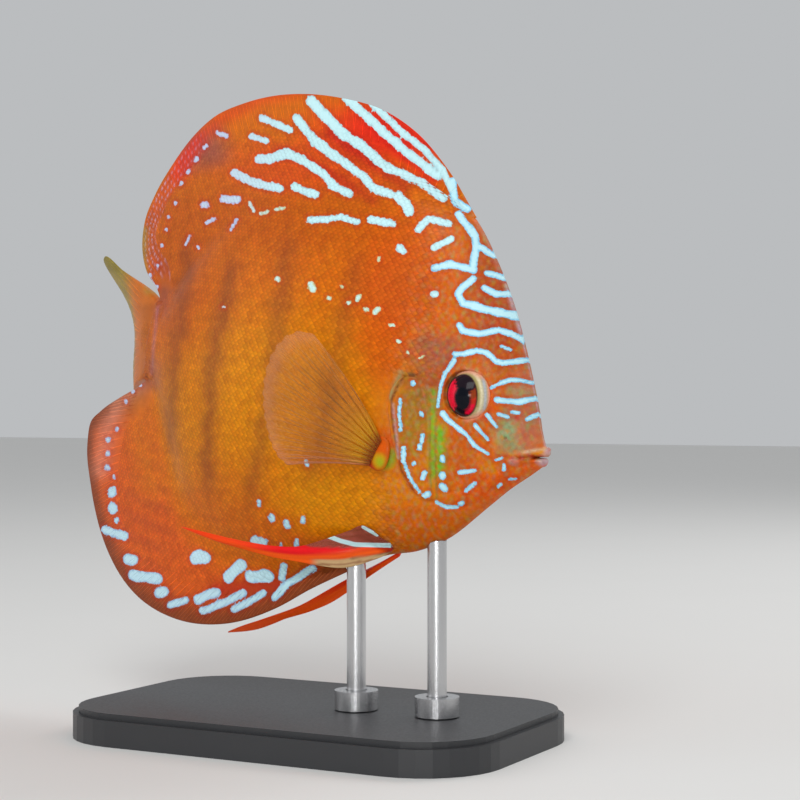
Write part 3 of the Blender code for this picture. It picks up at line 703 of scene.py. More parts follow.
@dataclass
class Markings:
    """Colours and pale marks of the fish, read at any place of its flat plan."""

    form: FishForm
    camera: PhotoCamera
    pixel: float = 0.254 * MM
    tail_floor: float = 362.0
    bead_pitch: float = 0.00225
    halo_strength: float = 0.36
    stroke_sets: tuple[StrokeSet, ...] = STROKE_SETS
    zones: tuple[Zone, ...] = ZONES
    bars: tuple[Accent, ...] = BARS
    accents: tuple[Accent, ...] = ACCENTS

    def picture(self, flat: Array) -> Array:
        """Picture places of points on the right flank, with the tail fin above the anal fin's marks."""
        tail = self.on_tail(flat)
        across = self.form.middle(flat) * tail - np.maximum(self.form.bare_half(flat), 0.0)
        places = self.camera.pixels(self.form.place(with_depth(flat, across)))
        places[:, 1] = np.where(tail > 0, np.minimum(places[:, 1], self.tail_floor), places[:, 1])
        return places

    def on_tail(self, flat: Array) -> Array:
        """1 on the tail fin and 0 elsewhere."""
        share = np.zeros(len(flat))
        rear = np.flatnonzero(flat[:, 0] > self.form.standard_length - 0.0005)
        outline = self.form.caudal_outline()
        gap, _ = line_distance(outline, flat[rear])
        share[rear] = inside(outline, flat[rear]) | (gap < 0.0003)
        return share

    def base_tint(self, flat: Array, places: Array) -> Array:
        """Colour of the skin without its pale marks.

        Args:
            flat: Flat-plan points.
            places: Their picture places.

        Returns:
            Scene-linear colours, one row for each point.
        """
        colour = Tint.ORANGE.over(len(flat))
        wander = places + 2.5 * np.stack([ripple(places, 38.0, 1), ripple(places, 38.0, 2)], 1)
        for zone in self.zones:
            reach = lengths((wander - (zone.x, zone.y)) / (zone.wide, zone.high))
            colour = blend_tint(colour, zone.tint, zone.strength * (1.0 - smooth_step(reach - 0.35)))
        colour = self.fin_tints(colour, flat)
        for bar in self.bars:
            gap, share = line_distance(bar.line, wander)
            ends = smooth_step(share / 0.15 + 0.2) * smooth_step((1 - share) / 0.15 + 0.2)
            colour = blend_tint(colour, bar.tint, bar.strength * bell(gap, bar.width) * ends)
        for accent in self.accents:
            gap, _ = line_distance(accent.line, places)
            colour = blend_tint(colour, accent.tint, accent.strength * bell(gap, 0.7 * accent.width))
        mottle = 1.0 + 0.06 * ripple(places, 17.0, 3) + 0.05 * ripple(places, 7.0, 4)
        return self.flecks(colour, flat, places) * mottle[:, None]

    def flecks(self, colour: Array, flat: Array, places: Array) -> Array:
        """Colours with the head's fine flecks of green, rose and orange."""
        head = fall(flat[:, 0], 0.030, 0.012)
        return layered(colour, *(
            (tint, strength * head * rise(ripple(places, pitch, seed), 0.15, 0.9))
            for tint, pitch, seed, strength in (
                (Tint.MOSS, 9.0, 21, 0.28), (Tint.GREY_ROSE, 7.0, 22, 0.32), (Tint.CRIMSON, 8.0, 25, 0.22),
                (Tint.FRONT, 7.5, 23, 0.40), (Tint.GREEN, 11.0, 24, 0.15), (Tint.GOLD, 8.5, 26, 0.18))))

    def fin_tints(self, colour: Array, flat: Array) -> Array:
        """Colours of the median fins and the tail over the body's own."""
        form, (s, z) = self.form, flat.T
        anal = inside(form.fin_outline(form.anal_edge, form.belly, -1, 0.012), flat)
        stations = np.linspace(0.030, form.standard_length, 90)
        gap, _ = line_distance(np.stack([stations, hermite(form.belly, stations)], 1), flat)
        below = anal * smooth_step(np.sign(hermite(form.belly, s) - z) * gap / 0.011 + 0.32)
        bands = 0.5 + 0.5 * np.sin(z / 0.00085 + 0.4 * np.sin(s / 0.01))
        rear = rise(s, 0.098, 0.02) * smooth_step((0.150 - s) / 0.02)
        tail = self.on_tail(flat) * rise(s, 0.132, 0.008)
        tip = tail * rise(s, 0.148, 0.016)
        colour = layered(colour, (Tint.ANAL, 0.82 * below), (Tint.BRICK, 0.35 * below * bands * rear),
                         (Tint.BROWN, 0.88 * anal * fall(path_gap(form.anal_edge, 60, flat), 0.001, 0.009)))
        return layered(self.beads(colour, flat), (Tint.CLEAR_AMBER, 0.8 * tail), (Tint.TIP_OLIVE, 0.85 * tip),
                       (Tint.OLIVE, 0.6 * tip * rise(z, 0.0150, 0.004)))

    def beads(self, colour: Array, flat: Array) -> Array:
        """Colours with the rows of small beads along the dorsal fin's rear edge."""
        spots = np.flatnonzero((flat[:, 0] > 0.120) & (flat[:, 1] > 0.018) & (flat[:, 1] < 0.070))
        part = flat[spots]
        s, z = part.T
        line = smooth_path(self.form.dorsal_edge, 120)
        gap, share = line_distance(line, part)
        along = share * lengths(np.diff(line, axis=0)).sum() / self.bead_pitch
        across = (gap - 0.0010) / self.bead_pitch
        shift = along + 0.5 * (np.floor(across) % 2) + 0.18 * ripple(part, 0.003, 41)
        bead = bell(shift % 1.0 - 0.5, 0.19) * bell(across % 1.0 - 0.5, 0.18)
        low = fall(z, 0.030, 0.020)
        weight = rise(gap, 0.0010, 0.0004) * fall(gap, 0.0076 + 0.0008 * low, 0.0012) * rise(s, 0.124, 0.010)
        weight *= smooth_step((0.067 - z) / 0.008) * rise(z, 0.019, 0.003)
        colour = colour.copy()
        colour[spots] = layered(colour[spots], (Tint.SCARLET, 0.40 * weight * (1 - 0.6 * low)),
                                (Tint.BRICK, 0.45 * weight * low), (Tint.LAVENDER, 0.56 * weight * bead))
        return colour

    def pale(self, places: Array) -> tuple[Array, Array]:
        """Depth inside the nearest pale mark, and that mark's colour.

        Args:
            places: Picture places.

        Returns:
            Depth in millimetres, negative outside, and scene-linear colours.
        """
        best = np.full(len(places), -9.0)
        colour = Tint.CYAN.over(len(places))
        for group in self.stroke_sets:
            for stroke in group.strokes:
                line = np.array(stroke.line, dtype=float)
                reach = stroke.width + 6.0
                low, high = line.min(axis=0) - reach, line.max(axis=0) + reach
                near = np.flatnonzero(((places > low) & (places < high)).all(axis=1))
                if not len(near):
                    continue
                gap, share = line_distance(line, places[near])
                wave = 1.0 + 0.13 * ripple(places[near], 19.0, 13)
                width = stroke.width * (1.0 - stroke.taper * share) * wave
                depth = (0.5 * width + 0.1 - gap) * self.pixel / MM
                deeper = depth > best[near]
                best[near[deeper]] = depth[deeper]
                colour[near[deeper]] = np.array(group.tint.linear)
        x, y = places.T
        loose = 1.0 - 0.55 * np.maximum(rise(x, 400.0, 40.0), rise(y, 540.0, 20.0))
        best += loose * (0.17 * ripple(places, 5.5, 11) + 0.08 * ripple(places, 2.6, 12))
        colour = colour * (0.86 + 0.14 * smooth_step(best / 0.35))[:, None]
        rear = fall(x, 210.0, 90.0) * (1.0 - 0.7 * rise(y, 380.0, 60.0))
        colour = layered(colour, (Tint.GLEAM, 0.85 * rise(best, 0.06, 0.42)), (Tint.LAVENDER, 0.60 * rear))
        return np.clip(best, -1.0, 1.0), colour

    def dress(self, mesh: Mesh, flat: Array, shade: Array | None = None) -> None:
        """Store the colours and the pale marks' depth on a mesh's points.

        Args:
            mesh: Mesh that carries the marks.
            flat: Flat-plan place of each of its points.
            shade: Brightness of each point, or of its three colours, 1 where left out.
        """
        places = self.picture(flat)
        tint = self.base_tint(flat, places)
        if shade is not None:
            tint = tint * (shade if shade.ndim == 2 else shade[:, None])
        depth, pale_tint = self.pale(places)
        halo = bell(depth + 0.40, 0.42) * (depth < 0.05)
        tint = blend_tint(tint, Tint.CRIMSON, self.halo_strength * halo)
        # Where the brightness is below 1 the pale marks darken too; on the scales this carries their random
        # tone and the painted shade at their rims.
        if shade is not None:
            level = shade.mean(axis=1) if shade.ndim == 2 else shade
            pale_tint = pale_tint * np.clip(level, 0.0, 1.0)[:, None] ** 0.7
        store_colour(mesh, "tint", tint)
        store_colour(mesh, "pale_tint", pale_tint)
        store_number(mesh, "pale", depth)


def store_colour(mesh: Mesh, name: str, colour: Array) -> None:
    """Store a scene-linear colour on each point of a mesh."""
    layer = mesh.attributes.new(name, "FLOAT_COLOR", "POINT")
    full = np.ones((len(colour), 4), dtype=np.float32)
    full[:, :3] = np.clip(colour, 0.0, 1.0)
    layer.data.foreach_set("color", full.ravel())


def store_number(mesh: Mesh, name: str, values: Array) -> None:
    """Store a number on each point of a mesh."""
    layer = mesh.attributes.new(name, "FLOAT", "POINT")
    layer.data.foreach_set("value", np.asarray(values, dtype=np.float32))


def store_vector(mesh: Mesh, name: str, values: Array) -> None:
    """Store a vector on each point of a mesh."""
    layer = mesh.attributes.new(name, "FLOAT_VECTOR", "POINT")
    layer.data.foreach_set("vector", np.asarray(values, dtype=np.float32).ravel())


def read_vector(mesh: Mesh, name: str) -> Array:
    """Vector stored on each point of a mesh."""
    values = np.empty(len(mesh.vertices) * 3, dtype=np.float32)
    mesh.attributes[name].data.foreach_get("vector", values)
    return values.reshape(-1, 3).astype(float)


def read_number(mesh: Mesh, name: str) -> Array:
    """Number stored on each point of a mesh."""
    values = np.empty(len(mesh.vertices), dtype=np.float32)
    mesh.attributes[name].data.foreach_get("value", values)
    return values


def read_places(mesh: Mesh) -> Array:
    """Places of a mesh's points."""
    values = np.empty(len(mesh.vertices) * 3, dtype=np.float32)
    mesh.vertices.foreach_get("co", values)
    return values.reshape(-1, 3).astype(float)


def store_uv(mesh: Mesh, uv: Array) -> None:
    """Store the unwrap named OFBake, a place for each corner of a mesh."""
    mesh.uv_layers.new(name="OFBake").data.foreach_set("uv", uv.astype(np.float32).ravel())


def next_in_ring(count: int) -> list[int]:
    """For each point of a ring, the number of the point after it."""
    return [(k + 1) % count for k in range(count)]


@contextmanager
def edited(mesh: Mesh) -> Iterator[bmesh.types.BMesh]:
    """Editable copy of a mesh that is written back at the end."""
    bm = bmesh.new()
    bm.from_mesh(mesh)
    yield bm
    bm.to_mesh(mesh)
    bm.free()


def outward(mesh: Mesh) -> Mesh:
    """Turn a closed mesh's faces outwards and smooth its shading."""
    with edited(mesh) as bm:
        bmesh.ops.recalc_face_normals(bm, faces=bm.faces)
    mesh.shade_smooth()
    return mesh


def staggered(along: tuple[float, float], step: float, across: tuple[float, float], row: float) -> Array:
    """Flat points in rows, every second row moved on by half a step.

    Args:
        along: Where each row starts and ends.
        step: Distance between the points of a row.
        across: Places of the first row and the end of the last.
        row: Distance between rows.

    Returns:
        The points.
    """
    rows = []
    for number, z in enumerate(np.arange(*across, row)):
        s = np.arange(along[0] + (number % 2) * step / 2, along[1], step)
        rows.append(np.stack([s, np.full(len(s), z)], 1))
    return np.concatenate(rows)


def point_tree(flat: Array) -> KDTree:
    """Search tree over flat points."""
    tree = KDTree(len(flat))
    for index, (s, z) in enumerate(flat):
        tree.insert((s, z, 0.0), index)
    tree.balance()
    return tree


def nearest(tree: KDTree, flat: Array) -> Array:
    """Distance from each flat point to the nearest point of a search tree."""
    return np.array([tree.find((s, z, 0.0))[2] for s, z in flat])


def add_piece(name: str, mesh: Mesh, material: Material) -> Piece:
    """Link a mesh as a named piece with its material."""
    mesh.name = name
    mesh.materials.clear()
    mesh.materials.append(material)
    piece = bpy.data.objects.new(name, mesh)
    bpy.context.scene.collection.objects.link(piece)
    return piece


def mesh_from(name: str, coords: Array, faces: Sequence[Sequence[int]]) -> Mesh:
    """Smooth-shaded mesh of coordinates and faces."""
    mesh = bpy.data.meshes.new(name)
    mesh.from_pydata([tuple(p) for p in coords], [], [tuple(int(v) for v in face) for face in faces])
    mesh.update()
    mesh.shade_smooth()
    return mesh


@dataclass(frozen=True)
class HeadRelief:
    """Folds and steps of the head: orbits, lips, nostrils, gill covers and cheeks."""

    form: FishForm
    eye_place: tuple[float, float] = (0.0185, 0.0107)
    eye_radius: float = 0.0063
    eye_sink: float = 0.0034
    lid_radius: float = 0.00572
    lid_crest: float = 0.00615
    nostril_place: tuple[float, float] = (0.0082, 0.0024)
    knob_place: tuple[float, float] = (0.0058, -0.0028)
    fin_seat: tuple[float, float] = (0.0388, -0.0078)
    head_length: float = 0.052
    orbit_rings: tuple[float, ...] = (
        0.0030, 0.0046, 0.0054, 0.0056, 0.00572, 0.00584, 0.0060, 0.00615, 0.0064, 0.0067, 0.0071)
    nostril_rings: tuple[float, ...] = (0.00018, 0.00036, 0.00058, 0.0008)
    mouth: Points = tenths(-6, -4, 42, -16, 58, -22, 70, -26)
    gill_rear: Points = tenths(
        310, 122, 345, 117, 368, 85, 370, 42, 357, -10, 339, -60, 315, -112, 280, -150, 235, -166,
    )
    gill_front: Points = tenths(235, -166, 243, -115, 251, -40, 262, 30, 282, 95, 310, 122)
    throat_fold: Points = tenths(235, -166, 190, -172, 140, -150, 95, -100)
    jaw_fold: Points = tenths(78, -36, 105, -75, 150, -115, 215, -140)

    @property
    def ball_depth(self) -> float:
        """Distance of the eyeball's centre from the fish's middle plane."""
        return float(self.form.body_half(np.array([self.eye_place]))[0]) - self.eye_sink

    def guide_points(self) -> Array:
        """Mesh points that follow the head's sharp features."""
        turns = np.linspace(0.0, 2 * math.pi, 84, endpoint=False)
        circle = np.stack([np.cos(turns), np.sin(turns)], 1)
        parts = [(circle * radius + self.eye_place)[:: 3 if radius < 0.005 else 1]
                 for radius in self.orbit_rings]
        for line, step, offsets in (
            (smooth_path(self.gill_rear, 120), 0.00042, (-0.9, -0.55, -0.3, -0.12, 0.05, 0.25, 0.6)),
            (smooth_path(self.mouth, 40), 0.0003, (-1.3, -0.9, -0.5, -0.25, -0.1, 0.1, 0.25, 0.5, 0.9, 1.3)),
            (smooth_path(self.gill_front, 60), 0.0005, (-0.4, 0.0, 0.4)),
        ):
            even = stepped_path(line, step)
            parts.extend(even + offset * MM * normals_of(even) for offset in offsets)
        parts.extend(circle[::6] * radius + self.nostril_place for radius in self.nostril_rings)
        return np.concatenate(parts)

    def orbit(self, flat: Array, half: Array) -> Array:
        """Level the cheek round the eye and fold the lid against the eyeball."""
        reach = lengths(flat - self.eye_place)
        level = float(self.form.body_half(np.array([self.eye_place]))[0]) - self.form.coat_depth
        calm = fall(reach, 0.0066, 0.0045)
        half = half + (level + 0.35 * (half - level) - half) * calm
        ball = self.ball_depth + np.sqrt(np.maximum(self.eye_radius**2 - reach**2, 0.0))
        lid_in = self.ball_depth + math.sqrt(self.eye_radius**2 - self.lid_radius**2)
        crest = np.maximum(half + 0.00028, lid_in + 0.00022)
        outer = half + (crest - half) * fall(reach, self.lid_crest, 0.0015)
        climb = np.clip((reach - self.lid_radius) / (self.lid_crest - self.lid_radius), 0.0, 1.0)
        inner = lid_in + (crest - lid_in) * np.sin(0.5 * math.pi * climb)
        under = ball - 0.0005 * rise(self.lid_radius, reach, 0.0003)
        return np.where(reach > self.lid_crest, outer, np.where(reach > self.lid_radius, inner, under))

    def mouth_relief(self, flat: Array) -> Array:
        """Lips, the slit between them and the knob at the corner of the jaws."""
        gap, share = line_distance(smooth_path(self.mouth, 30), flat)
        corner = fall(share, 0.82, 0.18)
        slit = -0.00036 * bell(gap, 0.00018) * (0.25 + 0.75 * corner)
        lips = 0.00038 * bell(gap - 0.00080, 0.00050) * corner
        fold = -0.00024 * bell(gap - 0.00175, 0.00030) * corner
        reach = lengths(flat - self.knob_place)
        knob = 0.00042 * bell(reach - 0.0004, 0.0006) - 0.00022 * bell(reach - 0.0014, 0.0003)
        return slit + lips + fold + knob

    def gill_relief(self, flat: Array) -> Array:
        """Raised gill cover with its step behind, and the grooves in front of it."""
        rear = smooth_path(self.gill_rear, 70)
        front = smooth_path(self.gill_front, 40)
        gap, share = line_distance(rear, flat)
        cover = inside(np.concatenate([rear, front[1:-1]]), flat)
        ends = smooth_step(share / 0.08) * (1.0 - 0.6 * rise(share, 0.90, 0.10))
        raised = 0.00040 * np.exp(-gap / 0.0030) * ends * cover
        sunk = -0.00048 * np.exp(-gap / 0.0008) * ends * ~cover
        first, _ = line_distance(front, flat)
        second, _ = line_distance(front - (0.0013, 0.0), flat)
        grooves = -0.00020 * bell(first, 0.00035) - 0.00013 * bell(second, 0.00035)
        return raised + sunk + grooves

    def soft_forms(self, flat: Array) -> Array:
        """Cheek, throat and jaw folds, nostril and the seats of the paired fins."""
        cheek = 0.00045 * bell(lengths(flat - (0.0195, -0.0070)), 0.0060)
        throat = -0.00028 * bell(path_gap(self.throat_fold, 30, flat), 0.00035)
        jaw = -0.00018 * bell(path_gap(self.jaw_fold, 30, flat), 0.00040)
        reach = lengths(flat - self.nostril_place)
        nostril = -0.00042 * bell(reach, 0.00034) + 0.00014 * bell(reach - 0.00064, 0.00022)
        seat = 0.00060 * bell(lengths((flat - self.fin_seat) / (1.0, 1.35)), 0.0024)
        ripples = 0.000035 * ripple(flat, 0.0022, 7) * (flat[:, 0] < 0.036)
        return cheek + throat + jaw + nostril + seat + ripples

    def apply(self, flat: Array, half: Array) -> Array:
        """Half thickness with the head's relief added."""
        near = flat[:, 0] < self.head_length
        spot = flat[near]
        calm = np.clip(half[near] / 0.0012, 0.0, 1.0)
        extra = self.mouth_relief(spot) + self.gill_relief(spot) + self.soft_forms(spot)
        half = half.copy()
        half[near] = self.orbit(spot, half[near] + extra * calm)
        return half


@dataclass
class FlatPlan:
    """Triangles over the fish's flat plan, with the distance of each point from the rim."""

    form: FishForm
    relief: HeadRelief
    body_step: float = 0.00086
    head_step: float = 0.00043
    bead_step: float = 0.00046
    head_end: float = 0.0400
    rim_step: float = 0.00050
    rings: tuple[float, ...] = (0.00005, 0.00014, 0.00028, 0.00055, 0.00095)
    clearance: float = 0.0003
    span: tuple[float, float] = (-0.002, 0.178)
    height: tuple[float, float] = (-0.070, 0.077)
    bead_span: tuple[float, float] = (0.124, 0.158)
    bead_reach: float = 0.0092
    eye_clearance: float = 0.0073
    outlines: list[Array] = field(default_factory=list)
    rim: KDTree | None = None

    def __post_init__(self) -> None:
        """Lay out the outlines and the rim they share."""
        form = self.form
        raw = [
            form.body_outline(),
            form.fin_outline(form.dorsal_edge, form.back, 1),
            form.fin_outline(form.anal_edge, form.belly, -1),
            form.caudal_outline(),
        ]
        self.outlines = [stepped_path(outline, self.rim_step, closed=True) for outline in raw]
        fine = [stepped_path(outline, 0.00012, closed=True) for outline in raw]
        kept = []
        for line in fine:
            hidden = np.zeros(len(line), dtype=bool)
            for other in fine:
                if other is not line:
                    hidden |= inside(other, line)
            kept.append(line[~hidden])
        self.rim = point_tree(np.concatenate(kept))

    def covers(self, flat: Array) -> Array:
        """Which flat points lie on the fish."""
        hits = np.zeros(len(flat), dtype=bool)
        for outline in self.outlines:
            hits |= inside(outline, flat)
        return hits

    def rim_distance(self, flat: Array) -> Array:
        """Distance from each flat point to the rim of the fish."""
        return nearest(self.rim, flat)

    def grid(self, low_s: float, high_s: float, step: float) -> Array:
        """Staggered points over one stretch of the fish."""
        points = staggered((low_s, high_s), step, self.height, step * math.sqrt(0.75))
        points = points[self.covers(points)]
        return points[self.rim_distance(points) > self.rings[-1] + 0.45 * step]

    def ring_points(self) -> Array:
        """Points in lines that follow the rim at small distances."""
        parts = []
        for outline in self.outlines:
            after, before = np.roll(outline, -1, axis=0), np.roll(outline, 1, axis=0)
            ahead = after - before
            area = np.sum(outline[:, 0] * after[:, 1] - outline[:, 1] * after[:, 0])
            normal = np.stack([-ahead[:, 1], ahead[:, 0]], 1) * np.sign(area)
            normal /= lengths(normal)[:, None]
            for distance in self.rings:
                moved = outline + distance * normal
                moved = moved[self.covers(moved)]
                parts.append(moved[np.abs(self.rim_distance(moved) - distance) < 0.1 * distance + 2e-5])
        return np.concatenate(parts)

    def crease_points(self) -> Array:
        """Points beside the lines where the median fins leave the body."""
        parts = []
        s = np.linspace(0.034, self.form.standard_length, 150)
        for profile in (self.form.back, self.form.belly):
            line = np.stack([s, hermite(profile, s)], 1)
            parts.extend(line + offset * MM * normals_of(line) for offset in (-0.6, -0.25, 0.25, 0.55, 0.95))
        return np.concatenate(parts)

    def beaded(self, flat: Array) -> Array:
        """Which flat points lie in the beaded band behind the dorsal fin's rear edge."""
        band = (flat[:, 0] > self.bead_span[0]) & (flat[:, 1] > 0.020) & (flat[:, 1] < 0.067)
        band[band] = self.rim_distance(flat[band]) < self.bead_reach
        return band

    def triangles(self) -> tuple[Array, list[tuple[int, ...]]]:
        """Flat points and triangles over the whole fish.

        Returns:
            The points, and the triangles as triples of point numbers.
        """
        guides = np.concatenate([self.relief.guide_points(), self.crease_points()])
        guides = guides[self.covers(guides)]
        guides = guides[self.rim_distance(guides) > self.clearance]
        rings = self.ring_points()
        fixed = point_tree(np.concatenate([guides, rings]))
        coarse = self.grid(self.head_end + self.clearance, self.span[1], self.body_step)
        fine = self.grid(*self.bead_span, self.bead_step)
        parts = (
            (self.grid(self.span[0], self.head_end, self.head_step), self.head_step),
            (coarse[~self.beaded(coarse)], self.body_step),
            (fine[self.beaded(fine)], self.bead_step),
        )
        grid = np.concatenate([part for part, _ in parts])
        step = np.concatenate([np.full(len(part), size) for part, size in parts])
        eye = lengths(grid - self.relief.eye_place) < self.eye_clearance
        grid = grid[(nearest(fixed, grid) > 0.55 * step) & ~eye]
        points = np.concatenate([*self.outlines, rings, guides, grid])
        sides, start = [], 0
        for outline in self.outlines:
            count = len(outline)
            sides.extend((start + k, start + (k + 1) % count) for k in range(count))
            start += count
        result = delaunay_2d_cdt([Vector(p) for p in points], sides, [], 0, 1e-6)
        flat = np.array([tuple(p) for p in result[0]])
        faces = np.array([tuple(face) for face in result[2]])
        faces = faces[self.covers(flat[faces].mean(axis=1))]
        used, index = np.unique(faces, return_inverse=True)
        return flat[used], [tuple(face) for face in index.reshape(-1, 3)]


@dataclass
class Skin:
    """One skin over the whole fish: flesh, gill covers and median fins."""

    form: FishForm
    relief: HeadRelief
    plan: FlatPlan
    marks: Markings
    rim_round: float = 0.00032
    lip_round: float = 0.0010
    notches: Points = ((0.1358, 0.0133), (0.1352, -0.0088))
    notch_reach: float = 0.0060

    def half(self, flat: Array) -> Array:
        """Half thickness of the skin at flat points."""
        half = self.relief.apply(flat, self.form.bare_half(flat))
        rim = self.plan.rim_distance(flat)
        lips = fall(flat[:, 0], 0.0020, 0.0040)
        bend = self.rim_round + (self.lip_round - self.rim_round) * lips
        turn = 1.0 - np.clip(rim / bend, 0.0, 1.0)
        return half * np.sqrt(np.maximum(1.0 - turn**2, 0.0))

    def surface(self, flat: Array, side: Side, lift: float = 0.0) -> Array:
        """World places on one flank of the skin, lifted off it by a little."""
        middle = self.form.middle(flat) * self.marks.on_tail(flat)
        return self.form.place(with_depth(flat, middle + side.value * (self.half(flat) + lift)))

    def normals(self, flat: Array, side: Side) -> Array:
        """Unit normals of one flank at flat points."""
        small = 0.0002
        along = self.surface(flat + (small, 0.0), side) - self.surface(flat - (small, 0.0), side)
        up = self.surface(flat + (0.0, small), side) - self.surface(flat - (0.0, small), side)
        normal = np.cross(along, up)
        normal /= np.maximum(lengths(normal), 1e-15)[:, None]
        return normal * np.sign(normal[:, 1] * side.value)[:, None]

    def plan_uv(self, flat: Array, side: Side) -> Array:
        """Place of flat points on the unwrap, a flank in each half of it."""
        shift = 0.0 if side is Side.RIGHT else 0.5
        return np.stack([(flat[:, 0] + 0.004) * 5.3, (flat[:, 1] + 0.075) * 3.15 + shift], 1)

    def ease_notches(self, mesh: Mesh, flat: Array) -> None:
        """Smooth the skin where the tail fin leaves the dorsal and the anal fin."""
        gap = np.min([lengths(flat - notch) for notch in np.array(self.notches)], axis=0)
        every_way = {"use_axis_x": True, "use_axis_y": True, "use_axis_z": True}
        with edited(mesh) as bm:
            bm.verts.ensure_lookup_table()
            for share in (1.0, 0.75, 0.5):
                verts = [bm.verts[int(v)] for v in np.flatnonzero(gap < share * self.notch_reach)]
                for _ in range(4):
                    bmesh.ops.smooth_vert(bm, verts=verts, factor=0.5, **every_way)
        mesh.shade_smooth()

    def build(self, material: Material) -> Piece:
        """Make the skin as one closed piece.

        Args:
            material: Finish of the skin.

        Returns:
            The piece.
        """
        flat, faces = self.plan.triangles()
        count = len(flat)
        edges = {edge for a, b, c in faces for edge in ((a, b), (b, c), (c, a))}
        rim = sorted({v for a, b in edges if (b, a) not in edges for v in (a, b)})
        half = self.half(flat)
        half[rim] = 0.0
        middle = self.form.middle(flat) * self.marks.on_tail(flat)
        free = np.setdiff1d(np.arange(count), rim)
        twin = np.arange(count)
        twin[free] = count + np.arange(len(free))
        right, left = with_depth(flat, middle - half), with_depth(flat[free], middle[free] + half[free])
        coords = self.form.place(np.concatenate([right, left]))
        tri = np.array(faces)
        shell = np.concatenate([tri[:, ::-1], twin[tri]])
        corners = coords[shell]
        volume = np.einsum("ij,ij->i", corners[:, 0], np.cross(corners[:, 1], corners[:, 2])).sum()
        if volume < 0:
            shell = shell[:, ::-1]
        mesh = mesh_from("skin", coords, shell)
        all_flat = np.concatenate([flat, flat[free]])
        self.ease_notches(mesh, all_flat)
        self.marks.dress(mesh, all_flat)
        uv = np.concatenate([self.plan_uv(all_flat[tri[:, ::-1]].reshape(-1, 2), Side.RIGHT),
                             self.plan_uv(flat[tri].reshape(-1, 2), Side.LEFT)])
        if volume < 0:
            uv = uv.reshape(-1, 3, 2)[:, ::-1].reshape(-1, 2)
        store_uv(mesh, uv)
        return add_piece("skin", mesh, material)


class Nodes:
    """Short ways to add and join nodes in a shader or geometry tree."""

    def __init__(self, tree: Tree, material: Material | None = None) -> None:
        """Keep the tree that the nodes go into, and the material it belongs to."""
        self.tree = tree
        self.material = material

    @property
    def shader(self) -> Node:
        """The material's shader node."""
        return self.tree.nodes["Principled BSDF"]

    @property
    def source(self) -> bpy.types.NodeOutputs:
        """Outputs of the group's input node."""
        return self.tree.nodes["in"].outputs

    def add(self, kind: str, inputs: dict | None = None, **settings: object) -> Node:
        """Add a node.

        Args:
            kind: Node type.
            inputs: Values or sockets for its inputs, by name or number.
            settings: Values of its properties.

        Returns:
            The node.
        """
        node = self.tree.nodes.new(kind)
        for name, value in settings.items():
            setattr(node, name, value)
        self.feed(node, inputs or {})
        return node

    def feed(self, node: Node, inputs: dict) -> None:
        """Set or link inputs of a node, by name or number."""
        for key, value in inputs.items():
            if isinstance(value, Socket):
                self.tree.links.new(value, node.inputs[key])
            else:
                node.inputs[key].default_value = value

    def math(self, operation: str, *values: object) -> Socket:
        """Result of a Math node."""
        return self.add("ShaderNodeMath", dict(enumerate(values)), operation=operation).outputs[0]

    def blend(self, factor: object, first: object, second: object, mode: str = "MIX") -> Socket:
        """Result of a colour Mix node."""
        node = self.add("ShaderNodeMix", {0: factor, 6: first, 7: second}, data_type="RGBA", blend_type=mode)
        return node.outputs[2]

    def attribute(self, name: str) -> Node:
        """Attribute node of a piece's own attribute."""
        return self.add("ShaderNodeAttribute", attribute_name=name)

    def noise(self, size: object, detail: float = 3.0, stretch: float = 1.0) -> Socket:
        """Noise over object coordinates, with blobs of the given size in metres, flattened along Z."""
        where = self.add("ShaderNodeTexCoord").outputs["Object"]
        if stretch != 1.0:
            where = self.add("ShaderNodeMapping", {"Vector": where, "Scale": (1.0, 1.0, stretch)}).outputs[0]
        scale = self.math("DIVIDE", 1.0, size) if isinstance(size, Socket) else 1.0 / size
        return self.add("ShaderNodeTexNoise", {"Vector": where, "Scale": scale, "Detail": detail}).outputs[0]

    def spread(self, value: object, low: object, high: object) -> Socket:
        """A 0 to 1 value spread between two others."""
        return self.add("ShaderNodeMapRange", {0: value, 3: low, 4: high}).outputs[0]

    def threshold(self, value: object, low: float, high: float) -> Socket:
        """Smooth threshold of a value between two others."""
        node = self.add("ShaderNodeMapRange", {0: value, 1: low, 2: high}, interpolation_type="SMOOTHSTEP")
        return node.outputs[0]

    def grey(self, level: object) -> Socket:
        """Grey colour of a level."""
        return self.add("ShaderNodeCombineColor", {0: level, 1: level, 2: level}).outputs[0]

    def bump(self, height: object, distance: float) -> Socket:
        """Normal bumped by a height."""
        return self.add("ShaderNodeBump", {"Height": height, "Distance": distance}).outputs["Normal"]

    def named(self, name: str, kind: str = "FLOAT") -> Socket:
        """Value of a named attribute in a geometry tree."""
        return self.add("GeometryNodeInputNamedAttribute", {"Name": name}, data_type=kind).outputs[0]

    def send(self, outputs: dict) -> Tree:
        """Feed the group's output node, and return the finished tree."""
        self.feed(self.tree.nodes["out"], outputs)
        return self.tree

    def send_solid(self, geometry: Socket) -> Tree:
        """Make instances real, set the group's finish on them and send them out."""
        real = self.add("GeometryNodeRealizeInstances", {0: geometry}).outputs[0]
        dressed = self.add("GeometryNodeSetMaterial", {0: real, "Material": self.source["Finish"]})
        return self.send({0: dressed.outputs[0]})


